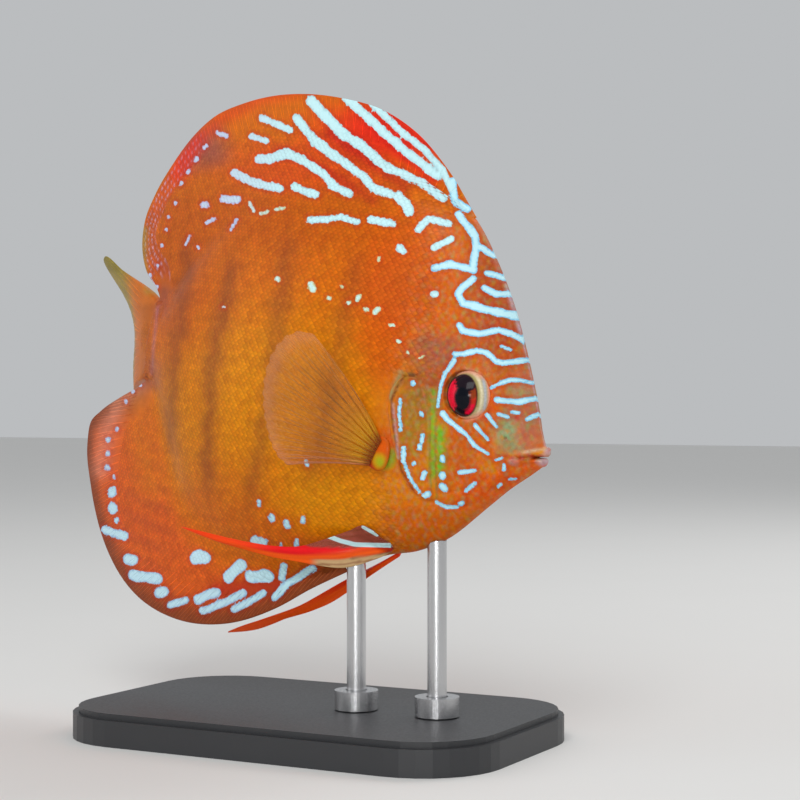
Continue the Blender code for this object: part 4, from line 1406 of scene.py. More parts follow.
def group_tree(name: str, kind: str, inputs: Sequence[tuple], outputs: Sequence[tuple]) -> Nodes:
    """Empty node group with named sockets.

    Args:
        name: Name of the group.
        kind: Tree type.
        inputs: Name, socket type and default of each input.
        outputs: Name and socket type of each output.

    Returns:
        The group's nodes, with its input and output nodes added.
    """
    tree = bpy.data.node_groups.new(name, kind)
    for label, socket_type, value in inputs:
        socket = tree.interface.new_socket(label, in_out="INPUT", socket_type=socket_type)
        if value is not None:
            socket.default_value = value
    for label, socket_type in outputs:
        tree.interface.new_socket(label, in_out="OUTPUT", socket_type=socket_type)
    nodes = Nodes(tree)
    nodes.add("NodeGroupInput", name="in")
    nodes.add("NodeGroupOutput", name="out")
    return nodes


def fish_marks_group() -> Tree:
    """Group that lays the pale marks over the skin's colour with ragged edges."""
    nodes = group_tree("fish_marks", "ShaderNodeTree", (
        ("Tint", "NodeSocketColor", None), ("Pale Tint", "NodeSocketColor", None),
        ("Depth", "NodeSocketFloat", 0.0), ("Ragged", "NodeSocketFloat", 0.25),
        ("Speckle", "NodeSocketFloat", 0.12), ("Grain", "NodeSocketFloat", 0.0004),
    ), (("Color", "NodeSocketColor"), ("Grain Height", "NodeSocketFloat")))
    source = nodes.source
    grain = nodes.noise(source["Grain"])
    wander = nodes.math("MULTIPLY", nodes.math("SUBTRACT", grain, 0.5), source["Ragged"])
    mask = nodes.threshold(nodes.math("ADD", source["Depth"], wander), -0.10, 0.13)
    fine = nodes.math("MULTIPLY", nodes.math("SUBTRACT", grain, 0.5), source["Speckle"])
    level = nodes.math("ADD", 1.0, nodes.math("MULTIPLY", fine, 2.0))
    flesh = nodes.blend(1.0, source["Tint"], nodes.grey(level), "MULTIPLY")
    return nodes.send({"Color": nodes.blend(mask, flesh, source["Pale Tint"]), "Grain Height": grain})


def brushed_group() -> Tree:
    """Group of fine streaks, as on drawn metal or satin plastic."""
    nodes = group_tree("fine_streaks", "ShaderNodeTree", (
        ("Size", "NodeSocketFloat", 0.0005), ("Low", "NodeSocketFloat", 0.3),
        ("High", "NodeSocketFloat", 0.45),
    ), (("Roughness", "NodeSocketFloat"), ("Height", "NodeSocketFloat")))
    source = nodes.source
    streaks = nodes.noise(source["Size"], 5.0, 14.0)
    return nodes.send({"Roughness": nodes.spread(streaks, source["Low"], source["High"]), "Height": streaks})


def new_material(name: str, constants: dict[str, object]) -> Nodes:
    """Material with a Principled shader whose plain values are set."""
    material = bpy.data.materials.new(name)
    material.use_nodes = True
    nodes = Nodes(material.node_tree, material)
    nodes.feed(nodes.shader, constants)
    return nodes


@dataclass(frozen=True)
class FleshFinish:
    """Wet skin or scales that carry the fish's marks."""

    name: str
    marks: Tree
    roughness: tuple[float, float] = (0.30, 0.46)
    ragged: float = 0.40
    speckle: float = 0.14
    grain: float = 0.0004
    bump: float = 0.00004
    coat: float = 0.045
    veil: str = ""

    def build(self) -> Material:
        """Make the material."""
        nodes = new_material(self.name, {
            "Coat Weight": self.coat, "Coat Roughness": 0.16, "IOR": 1.38, "Specular IOR Level": 0.13})
        marks = nodes.add("ShaderNodeGroup", node_tree=self.marks)
        nodes.feed(marks, {
            "Tint": nodes.attribute("tint").outputs["Color"],
            "Pale Tint": nodes.attribute("pale_tint").outputs["Color"],
            "Depth": nodes.attribute("pale").outputs["Fac"],
            "Ragged": self.ragged, "Speckle": self.speckle, "Grain": self.grain,
        })
        nodes.feed(nodes.shader, {
            "Base Color": marks.outputs["Color"],
            "Roughness": nodes.spread(nodes.noise(3.0 * self.grain), *self.roughness),
            "Normal": nodes.bump(marks.outputs["Grain Height"], self.bump),
        })
        if self.veil:
            nodes.feed(nodes.shader, {"Alpha": nodes.attribute(self.veil).outputs["Fac"]})
        return nodes.material


@dataclass(frozen=True)
class EyeFinish:
    """Glossy cornea over the painted iris."""

    name: str = "eye_cornea"

    def build(self) -> Material:
        """Make the material."""
        nodes = new_material(self.name, {
            "Coat Weight": 0.12, "Coat Roughness": 0.05, "Roughness": 0.18, "IOR": 1.36,
            "Specular IOR Level": 0.16})
        tone = nodes.grey(nodes.spread(nodes.noise(0.0005, 4.0), 0.75, 1.25))
        colour = nodes.blend(1.0, nodes.attribute("tint").outputs["Color"], tone, "MULTIPLY")
        nodes.feed(nodes.shader, {"Base Color": colour})
        return nodes.material


@dataclass(frozen=True)
class StandFinish:
    """Satin base or brushed metal of the stand."""

    name: str
    streaks: Tree
    colour: tuple[float, float, float]
    metallic: float
    roughness: tuple[float, float]
    size: float
    bump: float

    def build(self) -> Material:
        """Make the material."""
        nodes = new_material(self.name, {"Metallic": self.metallic})
        group = nodes.add("ShaderNodeGroup", {}, node_tree=self.streaks)
        nodes.feed(group, {"Size": self.size, "Low": self.roughness[0], "High": self.roughness[1]})
        dark = tuple(0.86 * part for part in self.colour)
        nodes.feed(nodes.shader, {
            "Base Color": nodes.blend(nodes.noise(0.02, 4.0), (*dark, 1.0), (*self.colour, 1.0)),
            "Roughness": group.outputs["Roughness"],
            "Normal": nodes.bump(group.outputs["Height"], self.bump),
        })
        return nodes.material


def run_tree(tree: Tree, seats: Mesh, values: dict[str, object]) -> Mesh:
    """Run a geometry tree on a mesh and return its plain result.

    Args:
        tree: Geometry tree with named inputs.
        seats: Mesh that goes in.
        values: Value of each named input.

    Returns:
        The mesh that comes out.
    """
    carrier = bpy.data.objects.new("carrier", seats)
    bpy.context.scene.collection.objects.link(carrier)
    modifier = carrier.modifiers.new("grow", "NODES")
    modifier.node_group = tree
    for item in tree.interface.items_tree:
        if item.in_out == "INPUT" and item.name in values:
            modifier[item.identifier] = values[item.name]
    evaluated = carrier.evaluated_get(bpy.context.evaluated_depsgraph_get())
    mesh = bpy.data.meshes.new_from_object(evaluated)
    carrier.modifiers.clear()
    bpy.data.objects.remove(carrier)
    return mesh


def scale_tree() -> Tree:
    """Geometry tree that sets a scale plate on each seat, along its lie."""
    nodes = group_tree("scale_rows", "GeometryNodeTree", (
        ("Seats", "NodeSocketGeometry", None), ("Plate", "NodeSocketObject", None),
        ("Length", "NodeSocketFloat", 0.002), ("Width", "NodeSocketFloat", 0.0015),
        ("Thickness", "NodeSocketFloat", 0.0001), ("Lift", "NodeSocketFloat", 0.1),
        ("Finish", "NodeSocketMaterial", None),
    ), (("Coat", "NodeSocketGeometry"),))
    source = nodes.source
    out, lie = nodes.named("out", "FLOAT_VECTOR"), nodes.named("lie", "FLOAT_VECTOR")
    frame = nodes.add("FunctionNodeAxesToRotation", {"Primary Axis": lie, "Secondary Axis": out},
                      primary_axis="X", secondary_axis="Z").outputs[0]
    tilt = nodes.add("ShaderNodeCombineXYZ", {1: nodes.math("MULTIPLY", source["Lift"], -1.0)}).outputs[0]
    tilt = nodes.add("FunctionNodeEulerToRotation", {0: tilt}).outputs[0]
    turned = nodes.add("FunctionNodeRotateRotation", {0: frame, 1: tilt}, rotation_space="LOCAL").outputs[0]
    extent = nodes.add("ShaderNodeCombineXYZ", {
        0: source["Length"], 1: source["Width"], 2: source["Thickness"]})
    extent = nodes.add("ShaderNodeVectorMath", {0: extent.outputs[0], "Scale": nodes.named("size")},
                       operation="SCALE").outputs[0]
    plate = nodes.add("GeometryNodeObjectInfo", {"Object": source["Plate"]}).outputs["Geometry"]
    plates = nodes.add("GeometryNodeInstanceOnPoints", {
        "Points": source["Seats"], "Instance": plate, "Rotation": turned, "Scale": extent,
    }).outputs[0]
    return nodes.send_solid(plates)


def ray_tree() -> Tree:
    """Geometry tree that sweeps tapering fin rays along the edges of a mesh."""
    nodes = group_tree("fin_rays", "GeometryNodeTree", (
        ("Lines", "NodeSocketGeometry", None), ("Sides", "NodeSocketInt", 6),
        ("Finish", "NodeSocketMaterial", None),
    ), (("Rays", "NodeSocketGeometry"),))
    source = nodes.source
    curves = nodes.add("GeometryNodeMeshToCurve", {0: source["Lines"]}).outputs[0]
    ring = nodes.add("GeometryNodeCurvePrimitiveCircle", {"Resolution": source["Sides"], "Radius": 1.0})
    tubes = nodes.add("GeometryNodeCurveToMesh", {
        "Curve": curves, "Profile Curve": ring.outputs[0], "Fill Caps": True,
        "Scale": nodes.named("thick"),
    }).outputs[0]
    return nodes.send_solid(nodes.add("GeometryNodeSetShadeSmooth", {0: tubes}).outputs[0])


@dataclass
class ScaleCoat:
    """Overlapping solid scales over the body and the scaly bases of the fins."""

    skin: Skin
    pitch: float = 0.00158
    row: float = 0.00084
    length: float = 0.00250
    width: float = 0.00184
    thickness: float = 0.00010
    lift: float = math.radians(5.0)
    sink: float = 0.00006
    patch: float = 0.003
    probe: float = 0.0016
    span: tuple[float, float] = (0.020, 0.150)
    height: tuple[float, float] = (-0.068, 0.074)
    scatter: float = 0.00004
    rim_clearance: float = 0.0009
    middle: tuple[float, float, float] = (0.56, 0.0, 0.0)
    plate_rim: Points = (
        (0.0, 0.22), (0.22, 0.45), (0.50, 0.50), (0.75, 0.41), (0.92, 0.22), (1.0, 0.0),
        (0.92, -0.22), (0.75, -0.41), (0.50, -0.50), (0.22, -0.45), (0.0, -0.22),
    )

    def plate(self, marked: bool) -> Piece:
        """Pattern of one scale: a thin closed lens, root at the origin, free edge along +X.

        Args:
            marked: Whether it carries an edge of a pale mark and so needs an inner ring.

        Returns:
            The pattern.
        """
        middle = np.array(self.middle)
        rim = np.array([(x, y, 0.0) for x, y in self.plate_rim])
        count, rings = len(rim), [rim]
        after = next_in_ring(count)
        if marked:
            rings.append(middle + 0.52 * (rim - middle) + (0.0, 0.0, 0.73))
        faces = [tuple(range(count))]
        for start in range(0, (len(rings) - 1) * count, count):
            faces.extend((start + k, start + count + k, start + count + after[k], start + after[k])
                         for k in range(count))
        last, top = (len(rings) - 1) * count, len(rings) * count
        faces.extend((last + k, top, last + after[k]) for k in range(count))
        mesh = mesh_from("plate", np.concatenate([*rings, [middle + (0.0, 0.0, 1.0)]]), faces)
        with edited(mesh) as bm:
            bmesh.ops.triangulate(bm, faces=bm.faces)
            bmesh.ops.recalc_face_normals(bm, faces=bm.faces)
        store_vector(mesh, "local", read_places(mesh))
        return bpy.data.objects.new("plate", mesh)

    def size_at(self, flat: Array) -> Array:
        """Share of the full size that a scale has at each place, 0 where the skin is bare."""
        form, relief = self.skin.form, self.skin.relief
        s, z = flat[:, 0], flat[:, 1]
        nape = np.where(z > 0.0125, 0.0245 + 0.16 * np.maximum(z - 0.0125, 0.0), 0.0372)
        nape = np.where(z < -0.010, 0.0340 + 0.35 * (z + 0.010), nape)
        size = smooth_step((s - nape + 0.0004) / 0.0070) * 0.45 + 0.55
        size = np.where(s > nape, size, 0.0)
        outside = self.fin_height(flat)
        for edge, reach in ((form.dorsal_edge, 0.0060), (form.anal_edge, 0.0075), (form.caudal_edge, 0.0060)):
            near = np.where(outside > 0.0, rise(path_gap(edge, 60, flat), reach, 0.006), 1.0)
            size = size * np.where(near > 0.02, 0.5 + 0.5 * near, 0.0)
        seat = lengths((flat - relief.fin_seat) / (1.0, 1.3))
        size = np.where(seat < 0.0030, 0.0, size)
        cover = np.concatenate([smooth_path(relief.gill_rear, 40), smooth_path(relief.gill_front, 30)[1:-1]])
        size = np.where(inside(cover, flat), 0.0, size)
        return np.where(s > form.standard_length + 0.007, 0.0, size)

    def fin_height(self, flat: Array) -> Array:
        """Height of flat points over the back or under the belly, 0 on the body."""
        form = self.skin.form
        over = flat[:, 1] - hermite(form.back, flat[:, 0])
        under = hermite(form.belly, flat[:, 0]) - flat[:, 1]
        behind = flat[:, 0] - form.standard_length
        return np.maximum(np.maximum(over, under), np.maximum(behind, 0.0))

    def seats(self, side: Side) -> dict[str, Array]:
        """Seats of the scales on one flank: their places, directions, sizes and luck."""
        plan, form = self.skin.plan, self.skin.form
        flat = staggered(self.span, self.pitch, self.height, self.row)
        flat[:, 1] += 0.0011 * np.sin((flat[:, 0] - 0.03) / 0.030)
        rng = np.random.default_rng(5 + side.value)
        flat = flat + rng.normal(0.0, self.scatter, flat.shape)
        flat = flat[plan.covers(flat)]
        size = self.size_at(flat)
        keep = (size > 0.0) & (plan.rim_distance(flat) > self.rim_clearance)
        flat, size = flat[keep], size[keep]
        top, low = hermite(form.back, flat[:, 0]), hermite(form.belly, flat[:, 0])
        across = np.clip((flat[:, 1] - 0.5 * (top + low)) / (0.5 * (top - low)), -1.3, 1.3)
        slope_top = (hermite(form.back, flat[:, 0] + 0.002) - top) / 0.002
        slope_low = (hermite(form.belly, flat[:, 0] + 0.002) - low) / 0.002
        slant = np.arctan(np.where(across > 0, slope_top * across**2, slope_low * across**2) * 0.75)
        slant = np.clip(slant, -0.7, 0.7) + rng.normal(0.0, 0.03, len(slant))
        along = np.stack([np.cos(slant), np.sin(slant)], 1)
        ahead = flat + self.probe * along
        return {
            "place": self.skin.surface(flat, side, -self.sink),
            "out": self.skin.normals(flat, side) + self.skin.normals(ahead, side),
            "lie": self.skin.surface(ahead, side) - self.skin.surface(flat, side),
            "size": size,
            "root": np.stack([flat[:, 0], flat[:, 1], slant], 1),
            "luck": rng.uniform(0.0, 1.0, len(flat)),
            "middle": flat + 0.5 * self.length * size[:, None] * along,
        }

    def seat_mesh(self, seats: dict[str, Array], keep: Array) -> Mesh:
        """Mesh of the chosen seats, with what the scales' tree reads."""
        mesh = bpy.data.meshes.new("seats")
        mesh.from_pydata([tuple(p) for p in seats["place"][keep]], [], [])
        for name in ("out", "lie", "root"):
            store_vector(mesh, name, seats[name][keep])
        for name in ("size", "luck"):
            store_number(mesh, name, seats[name][keep])
        return mesh

    def build(self, side: Side, tree: Tree, material: Material) -> list[Piece]:
        """Grow the scales of one flank, the plain ones and those with pale marks as two meshes.

        Args:
            side: The flank.
            tree: Geometry tree of the scales.
            material: Finish of the scales.

        Returns:
            The pieces.
        """
        seats = self.seats(side)
        marks = self.skin.marks
        marked = marks.pale(marks.picture(seats["middle"]))[0] > -0.95
        return [
            self.grow(side, name, self.seat_mesh(seats, keep), self.plate(fine), tree, material)
            for name, keep, fine in (("scale_coat_", ~marked, False), ("marked_scales_", marked, True))
        ]

    def grow(self, side: Side, name: str, seats: Mesh, plate: Piece,
             tree: Tree, material: Material) -> Piece:
        """Grow scales on seats and dress them.

        Args:
            side: The flank.
            name: Start of the piece's name.
            seats: Seats of the scales.
            plate: Pattern of one scale.
            tree: Geometry tree of the scales.
            material: Finish of the scales.

        Returns:
            The piece.
        """
        mesh = run_tree(tree, seats, {
            "Plate": plate, "Length": self.length, "Width": self.width, "Thickness": self.thickness,
            "Lift": self.lift, "Finish": material,
        })
        bpy.data.objects.remove(plate)
        root, local = read_vector(mesh, "root"), read_vector(mesh, "local")
        size, luck = read_number(mesh, "size"), read_number(mesh, "luck")
        along = local[:, 0] * self.length * size
        across = side.value * local[:, 1] * self.width * size
        cos, sin = np.cos(root[:, 2]), np.sin(root[:, 2])
        flat = root[:, :2] + np.stack([along * cos - across * sin, along * sin + across * cos], 1)
        # Each scale is painted lighter in its middle and darker towards its rim: partly the scale's own gold
        # middle and brown edge, partly painted shade where the scales overlap. The luck terms are random
        # tone.
        rim = np.hypot((local[:, 0] - self.middle[0]) / 0.44, local[:, 1] / 0.5)
        shade = (1.12 - 0.30 * rise(rim, 0.40, 0.5)) * (0.92 + 0.16 * luck)
        shade = 1.0 + (shade - 1.0) * rise(size, 0.5, 0.4)
        hue = (luck * 7.31) % 1.0 - 0.5
        shade = shade[:, None] * (1.0 + np.stack([0.10 * hue, 0.24 * hue, 0.10 * hue], 1))
        for layer in ("out", "lie", "root", "local", "size", "luck"):
            mesh.attributes.remove(mesh.attributes[layer])
        self.skin.marks.dress(mesh, flat, shade)
        corner = np.empty(len(mesh.loops), dtype=np.int32)
        mesh.loops.foreach_get("vertex_index", corner)
        uv = self.skin.plan_uv(root[:, :2], side) + self.patch * (local[:, :2] - (0.5, 0.0))
        store_uv(mesh, uv[corner])
        mesh.shade_smooth()
        mesh.set_sharp_from_angle(angle=math.radians(50))
        return add_piece(name + side.word, mesh, material)


@dataclass(frozen=True)
class Eye:
    """Eyeball with its iris and pupil, seated in the orbit of one side."""

    relief: HeadRelief
    side: Side
    rings: int = 88
    segments: int = 128
    bulge: float = 0.00022
    iris_centre: tuple[float, float] = (-0.00050, -0.00015)
    iris_radii: tuple[float, float] = (0.00425, 0.00510)
    pupil_centre: tuple[float, float] = (0.00015, -0.00086)
    pupil_radii: tuple[float, float] = (0.00190, 0.00265)

    def paint(self, offsets: Array) -> Array:
        """Colours of the eye.

        Args:
            offsets: Places forward and up from the eye's middle.

        Returns:
            Scene-linear colours.
        """
        x, z = offsets.T
        iris = lengths((offsets - self.iris_centre) / self.iris_radii)
        pupil = lengths((offsets - self.pupil_centre) / self.pupil_radii)
        turn = np.degrees(np.arctan2(z - self.pupil_centre[1], x - self.pupil_centre[0]))
        turn = turn + 5.0 * ripple(offsets, 0.0011, 31)

        def sector(middle: float, half: float) -> Array:
            """Soft share of each place that lies in a sector round the pupil."""
            off = np.abs((turn - middle + 180.0) % 360.0 - 180.0)
            return 1.0 - smooth_step((off - half + 8.0) / 16.0)

        disc = fall(iris, 0.96, 0.07)
        inner = disc * smooth_step((0.97 - iris) / 0.08)
        ring = np.maximum(sector(172.0, 52.0), sector(-40.0, 50.0))
        return layered(
            Tint.WHITE_OLIVE.over(len(offsets)),
            (Tint.OLIVE, 0.50 * bell(iris - 1.05, 0.07) * (z > -0.003)),
            (Tint.CREAM, 0.95 * bell(iris - 1.17, 0.07)),
            # Painted highlight: a grey-blue band on the front of the rim.
            (Tint.SILVER, 0.90 * bell(iris - 1.31, 0.06) * rise(x, 0.0030, 0.0015)),
            (Tint.LID, 0.85 * rise(iris, 1.37, 0.05)),
            (Tint.LID, 0.70 * rise(np.hypot(x, z), 0.0046, 0.0009) * rise(np.abs(z), 0.0030, 0.0015)),
            (Tint.EYE_RIM, 0.85 * rise(-0.002, x, 0.001)),
            (Tint.EYE_RIM, disc),
            (Tint.RUST, 0.50 * inner * sector(16.0, 20.0)),
            (Tint.FLAME, 0.60 * inner * sector(-18.0, 18.0)),
            (Tint.IRIS, inner * np.maximum(sector(172.0, 52.0), sector(-58.0, 28.0))),
            (Tint.CRIMSON, 0.30 * inner * (0.5 + 0.5 * np.sin(np.radians(turn) * 46.0))),
            (Tint.EYE_RIM, 0.75 * bell(pupil - 1.08, 0.10) * ring),
            (Tint.EYE_RIM, inner * (1.0 - ring) * (1.0 - sector(16.0, 24.0))),
            (Tint.PUPIL, fall(pupil, 0.95, 0.10)),
        )

    def build(self, material: Material) -> Piece:
        """Make the eye.

        Args:
            material: Finish of the cornea.

        Returns:
            The piece.
        """
        polar = np.linspace(0.0, math.pi, self.rings + 1)[1:-1]
        turns = np.linspace(0.0, 2 * math.pi, self.segments, endpoint=False)
        grid_p, grid_t = np.meshgrid(polar, turns, indexing="ij")
        polar, turn = grid_p.ravel(), grid_t.ravel()
        ball = np.stack([np.sin(polar) * np.cos(turn), np.sin(polar) * np.sin(turn), np.cos(polar)], -1)
        ball = np.concatenate([ball, [(0.0, 0.0, 1.0), (0.0, 0.0, -1.0)]]) * self.relief.eye_radius
        ball[:, 2] += self.bulge * bell(np.hypot(ball[:, 0], ball[:, 1]), 0.0028) * (ball[:, 2] > 0)
        s, z = self.relief.eye_place
        side = self.side.value
        fish = np.stack([s - ball[:, 0], side * (self.relief.ball_depth + ball[:, 2]), z + ball[:, 1]], 1)
        coords = self.relief.form.place(fish)
        count = self.segments
        after = next_in_ring(count)
        top, bottom, last = len(ball) - 2, len(ball) - 1, (self.rings - 2) * count
        faces = [(row + k, row + count + k, row + count + after[k], row + after[k])
                 for row in range(0, last, count) for k in range(count)]
        faces.extend((top, k, after[k]) for k in range(count))
        faces.extend((bottom, last + after[k], last + k) for k in range(count))
        if side > 0:
            faces = [face[::-1] for face in faces]
        mesh = mesh_from("eye", coords, faces)
        middle = self.relief.form.place(np.array([(s, side * self.relief.ball_depth, z)]))[0]
        store_colour(mesh, "tint", self.paint((coords - middle)[:, (0, 2)]))
        return add_piece("eyeball_" + self.side.word, mesh, material)


@dataclass(frozen=True)
class RayLine:
    """One ray of a fin: its line, and its thickness from root to tip."""

    line: Array
    thick: Array


def sweep_rays(tree: Tree, rays: Sequence[RayLine], spots: Sequence[Array],
               material: Material, sides: int = 6) -> Mesh:
    """Sweep rays into one mesh that still knows its flat-plan spots.

    Args:
        tree: Geometry tree of the rays.
        rays: World lines and their thickness.
        spots: Flat-plan place, or any other pair of values, of each point of each line.
        material: Finish.
        sides: Sides of each ray's section.

    Returns:
        The mesh, with its spots in the attribute "spot".
    """
    coords, edges, thick, spot = [], [], [], []
    for ray, place in zip(rays, spots):
        start = sum(len(part) for part in coords)
        edges.extend((start + k, start + k + 1) for k in range(len(ray.line) - 1))
        coords.append(ray.line)
        thick.append(ray.thick)
        spot.append(place)
    lines = bpy.data.meshes.new("lines")
    lines.from_pydata([tuple(p) for p in np.concatenate(coords)], edges, [])
    store_number(lines, "thick", np.concatenate(thick))
    flat = np.concatenate(spot)
    store_vector(lines, "spot", np.stack([flat[:, 0], flat[:, 1], np.zeros(len(flat))], 1))
    return run_tree(tree, lines, {"Sides": sides, "Finish": material})


@dataclass
class FinRays:
    """Raised rays on both faces of one median fin or the tail."""

    skin: Skin
    name: str
    base: Array
    edge: Array
    count: int
    spines: int = 0
    root_thick: float = 0.00015
    tip_thick: float = 0.00009
    spine_girth: float = 1.35
    split_at: float = 0.5
    start: float = 0.34
    steps: int = 24
    # Rays are painted lighter than the skin under them: partly their own paler colour, partly painted light
    # that lifts the shade falling on the thin raised rays.
    glow: float = 1.42

    def flat_lines(self) -> list[tuple[Array, Array]]:
        """Flat-plan lines of the rays with their thickness."""
        lines = []
        roots = even_path(self.base, self.count)
        tips = even_path(self.edge, self.count)
        for number, (root, tip) in enumerate(zip(roots, tips)):
            spine = number < self.spines
            run = np.linspace(0.0 if spine else self.start, 1.0, self.steps)[:, None]
            pitch = tips[min(number + 1, self.count - 1)] - tips[max(number - 1, 0)]
            bend = 0.10 * np.array((tip[1] - root[1], root[0] - tip[0])) * np.sign(tip[1] - root[1] + 1e-9)
            line = root + (tip - root) * run + bend * run * (1 - run) * 0.8
            girth = self.root_thick * (self.spine_girth if spine else 1.0)
            thick = self.tip_thick + (girth - self.tip_thick) * (1 - run[:, 0]) ** 0.8
            thick = thick * (0.35 + 0.65 * rise(run[:, 0], run[0, 0], 0.15))
            fork = 0.0 if spine else rise(run, self.split_at, 1.0 - self.split_at)
            for way in (0.0,) if spine else (-1.0, 1.0):
                lines.append((line + way * 0.13 * pitch * fork, thick))
        return lines

    def build(self, tree: Tree, material: Material) -> Piece:
        """Make the rays of both faces as one piece.

        Args:
            tree: Geometry tree of the rays.
            material: Finish of the rays.

        Returns:
            The piece.
        """
        rays, spots = [], []
        for flat, thick in self.flat_lines():
            keep = (self.skin.plan.rim_distance(flat) > 0.0004) & self.skin.plan.covers(flat)
            if keep.sum() < 4:
                continue
            flat, thick = flat[keep], thick[keep]
            for side in Side:
                rays.append(RayLine(self.skin.surface(flat, side, -0.00005), thick))
                spots.append(flat)
        mesh = sweep_rays(tree, rays, spots, material)
        flat = read_vector(mesh, "spot")[:, :2]
        mesh.attributes.remove(mesh.attributes["spot"])
        # The rays take the skin's colours painted lighter, partly as painted light.
        self.skin.marks.dress(mesh, flat, np.full(len(flat), self.glow))
        return add_piece(self.name, mesh, material)


@dataclass
class PectoralFin:
    """Clear rayed fan of one pectoral fin on its fleshy lobe."""

    skin: Skin
    side: Side
    top_ray: float = 0.036
    low_ray: float = 0.025
    spread: float = math.radians(36.5)
    bow: float = 0.26
    root_half_width: float = 0.0033
    lift: float = math.radians(16.5)
    flare: dict[Side, float] = field(default_factory=lambda: {
        Side.RIGHT: math.radians(14.0), Side.LEFT: math.radians(24.0)})
    root: tuple[float, float] = (0.0380, -0.0078)
    standoff: float = 0.0010
    shell_half: float = 0.00007
    ray_count: int = 14
    lobe_radii: tuple[float, float, float] = (0.0036, 0.0009, 0.0042)

    def frame(self) -> tuple[Array, Array, Array, Array]:
        """Root place and the directions along, across and out of the fan, in fish coordinates."""
        s, z = self.root
        side = self.side.value
        y = float(self.skin.form.body_half(np.array([self.root]))[0]) + self.standoff
        flare = self.flare[self.side]
        along = np.array((math.cos(self.lift) * math.cos(flare), side * math.sin(flare),
                          math.sin(self.lift) * math.cos(flare)))
        across = np.array((-math.sin(self.lift), 0.0, math.cos(self.lift)))
        out = np.cross(across, along)
        return np.array((s, side * y, z)), along, across, out * np.sign(out[1]) * side

    def reach(self, share: Array) -> Array:
        """Length of the fan at a share of its spread, 0 at the lowest ray and 1 at the top one."""
        length = self.low_ray + (self.top_ray - self.low_ray) * smooth_step(share)
        return length * (1.0 - 0.12 * np.abs(2 * share - 1) ** 6)

    def fan(self, share: Array, run: Array, lift: Array | float = 0.0) -> Array:
        """World places on the fan.

        Args:
            share: Place across the fan, 0 at the lowest ray and 1 at the top one.
            run: Place along the fan, 0 at the root and 1 at the edge.
            lift: Distance off its middle surface.

        Returns:
            World places.
        """
        root, along, across, out = self.frame()
        turn = (2 * share - 1) * self.spread + self.bow * share**2 * (1 - run)
        length = self.reach(share) * run
        foot = (2 * share - 1) * self.root_half_width * (1 - run) ** 2
        u = length * np.cos(turn)
        v = length * np.sin(turn) + foot
        pleat = 0.00010 * np.cos(share * self.ray_count * 2 * math.pi) * smooth_step(run * 1.5)
        cup = 0.0009 * np.sin(run * math.pi) + pleat + lift
        return self.skin.form.place(root + u[:, None] * along + v[:, None] * across + cup[:, None] * out)

    def tints(self, share: Array, run: Array, ray: bool) -> tuple[Array, Array]:
        """Colours and veil of the fan's membrane or rays."""
        near = fall(run, 0.08, 0.42)
        odd = 0.5 + 0.5 * np.sin(share * (self.ray_count - 1) * math.pi + 0.6)
        low = 1 - smooth_step(share / 0.22)
        # Painted shade: a brown band on the upper fan, where the darker flank behind it shows through.
        painted_shade = bell(share - 0.80, 0.09) * bell(run - 0.58, 0.16)
        rim = rise(run, 0.86, 0.10)
        colour = layered(
            Tint.PALE_TAN.over(len(run)),
            (Tint.ORANGE, 0.75 - 0.25 * run),
            (Tint.GLOW, 0.95 * near),
            (Tint.RUST, 0.95 * near * odd * ray),
            (Tint.BRICK, (0.8 if ray else 0.4) * fall(run, 0.03, 0.09)),
            (Tint.LID if ray else Tint.BRICK, 0.55 * low * smooth_step(run / 0.2)),
            # Painted shade band on the upper fan.
            (Tint.BROWN, 0.55 * painted_shade),
            (Tint.LID, 0.35 * rim),
        )
        if ray:
            return colour, 0.85 - 0.67 * rise(run, 0.1, 0.55) + 0.30 * low
        return colour, 0.40 - 0.30 * smooth_step(run / 0.5) + 0.08 * low + 0.10 * rim + 0.09 * painted_shade

    def build_membrane(self, material: Material) -> Piece:
        """Make the fan's membrane as a thin closed shell."""
        across, along = 113, 30
        share, run = np.meshgrid(np.linspace(0, 1, across), np.linspace(0.02, 1, along), indexing="ij")
        share, run = share.ravel(), run.ravel()
        scallop = run * (1.0 + 0.007 * np.cos(share * self.ray_count * 2 * math.pi) * (run > 0.9))
        front, back = self.fan(share, scallop, self.shell_half), self.fan(share, scallop, -self.shell_half)
        count = len(run)
        faces = []
        for i in range(across - 1):
            for j in range(along - 1):
                a, b, c, d = i * along + j, (i + 1) * along + j, (i + 1) * along + j + 1, i * along + j + 1
                faces.append((a, b, c, d))
                faces.append((count + d, count + c, count + b, count + a))
        corners = np.arange(count).reshape(across, along)
        rim = [*corners[0], *corners[1:, -1], *corners[-1, -2::-1], *corners[-2:0:-1, 0]]
        faces.extend((a, count + a, count + b, b) for a, b in zip(rim, rim[1:] + rim[:1]))
        mesh = outward(mesh_from("fan", np.concatenate([front, back]), faces))
        colour, veil = self.tints(np.tile(share, 2), np.tile(run, 2), False)
        return self.finish(mesh, "pectoral_membrane_", colour, veil, material)

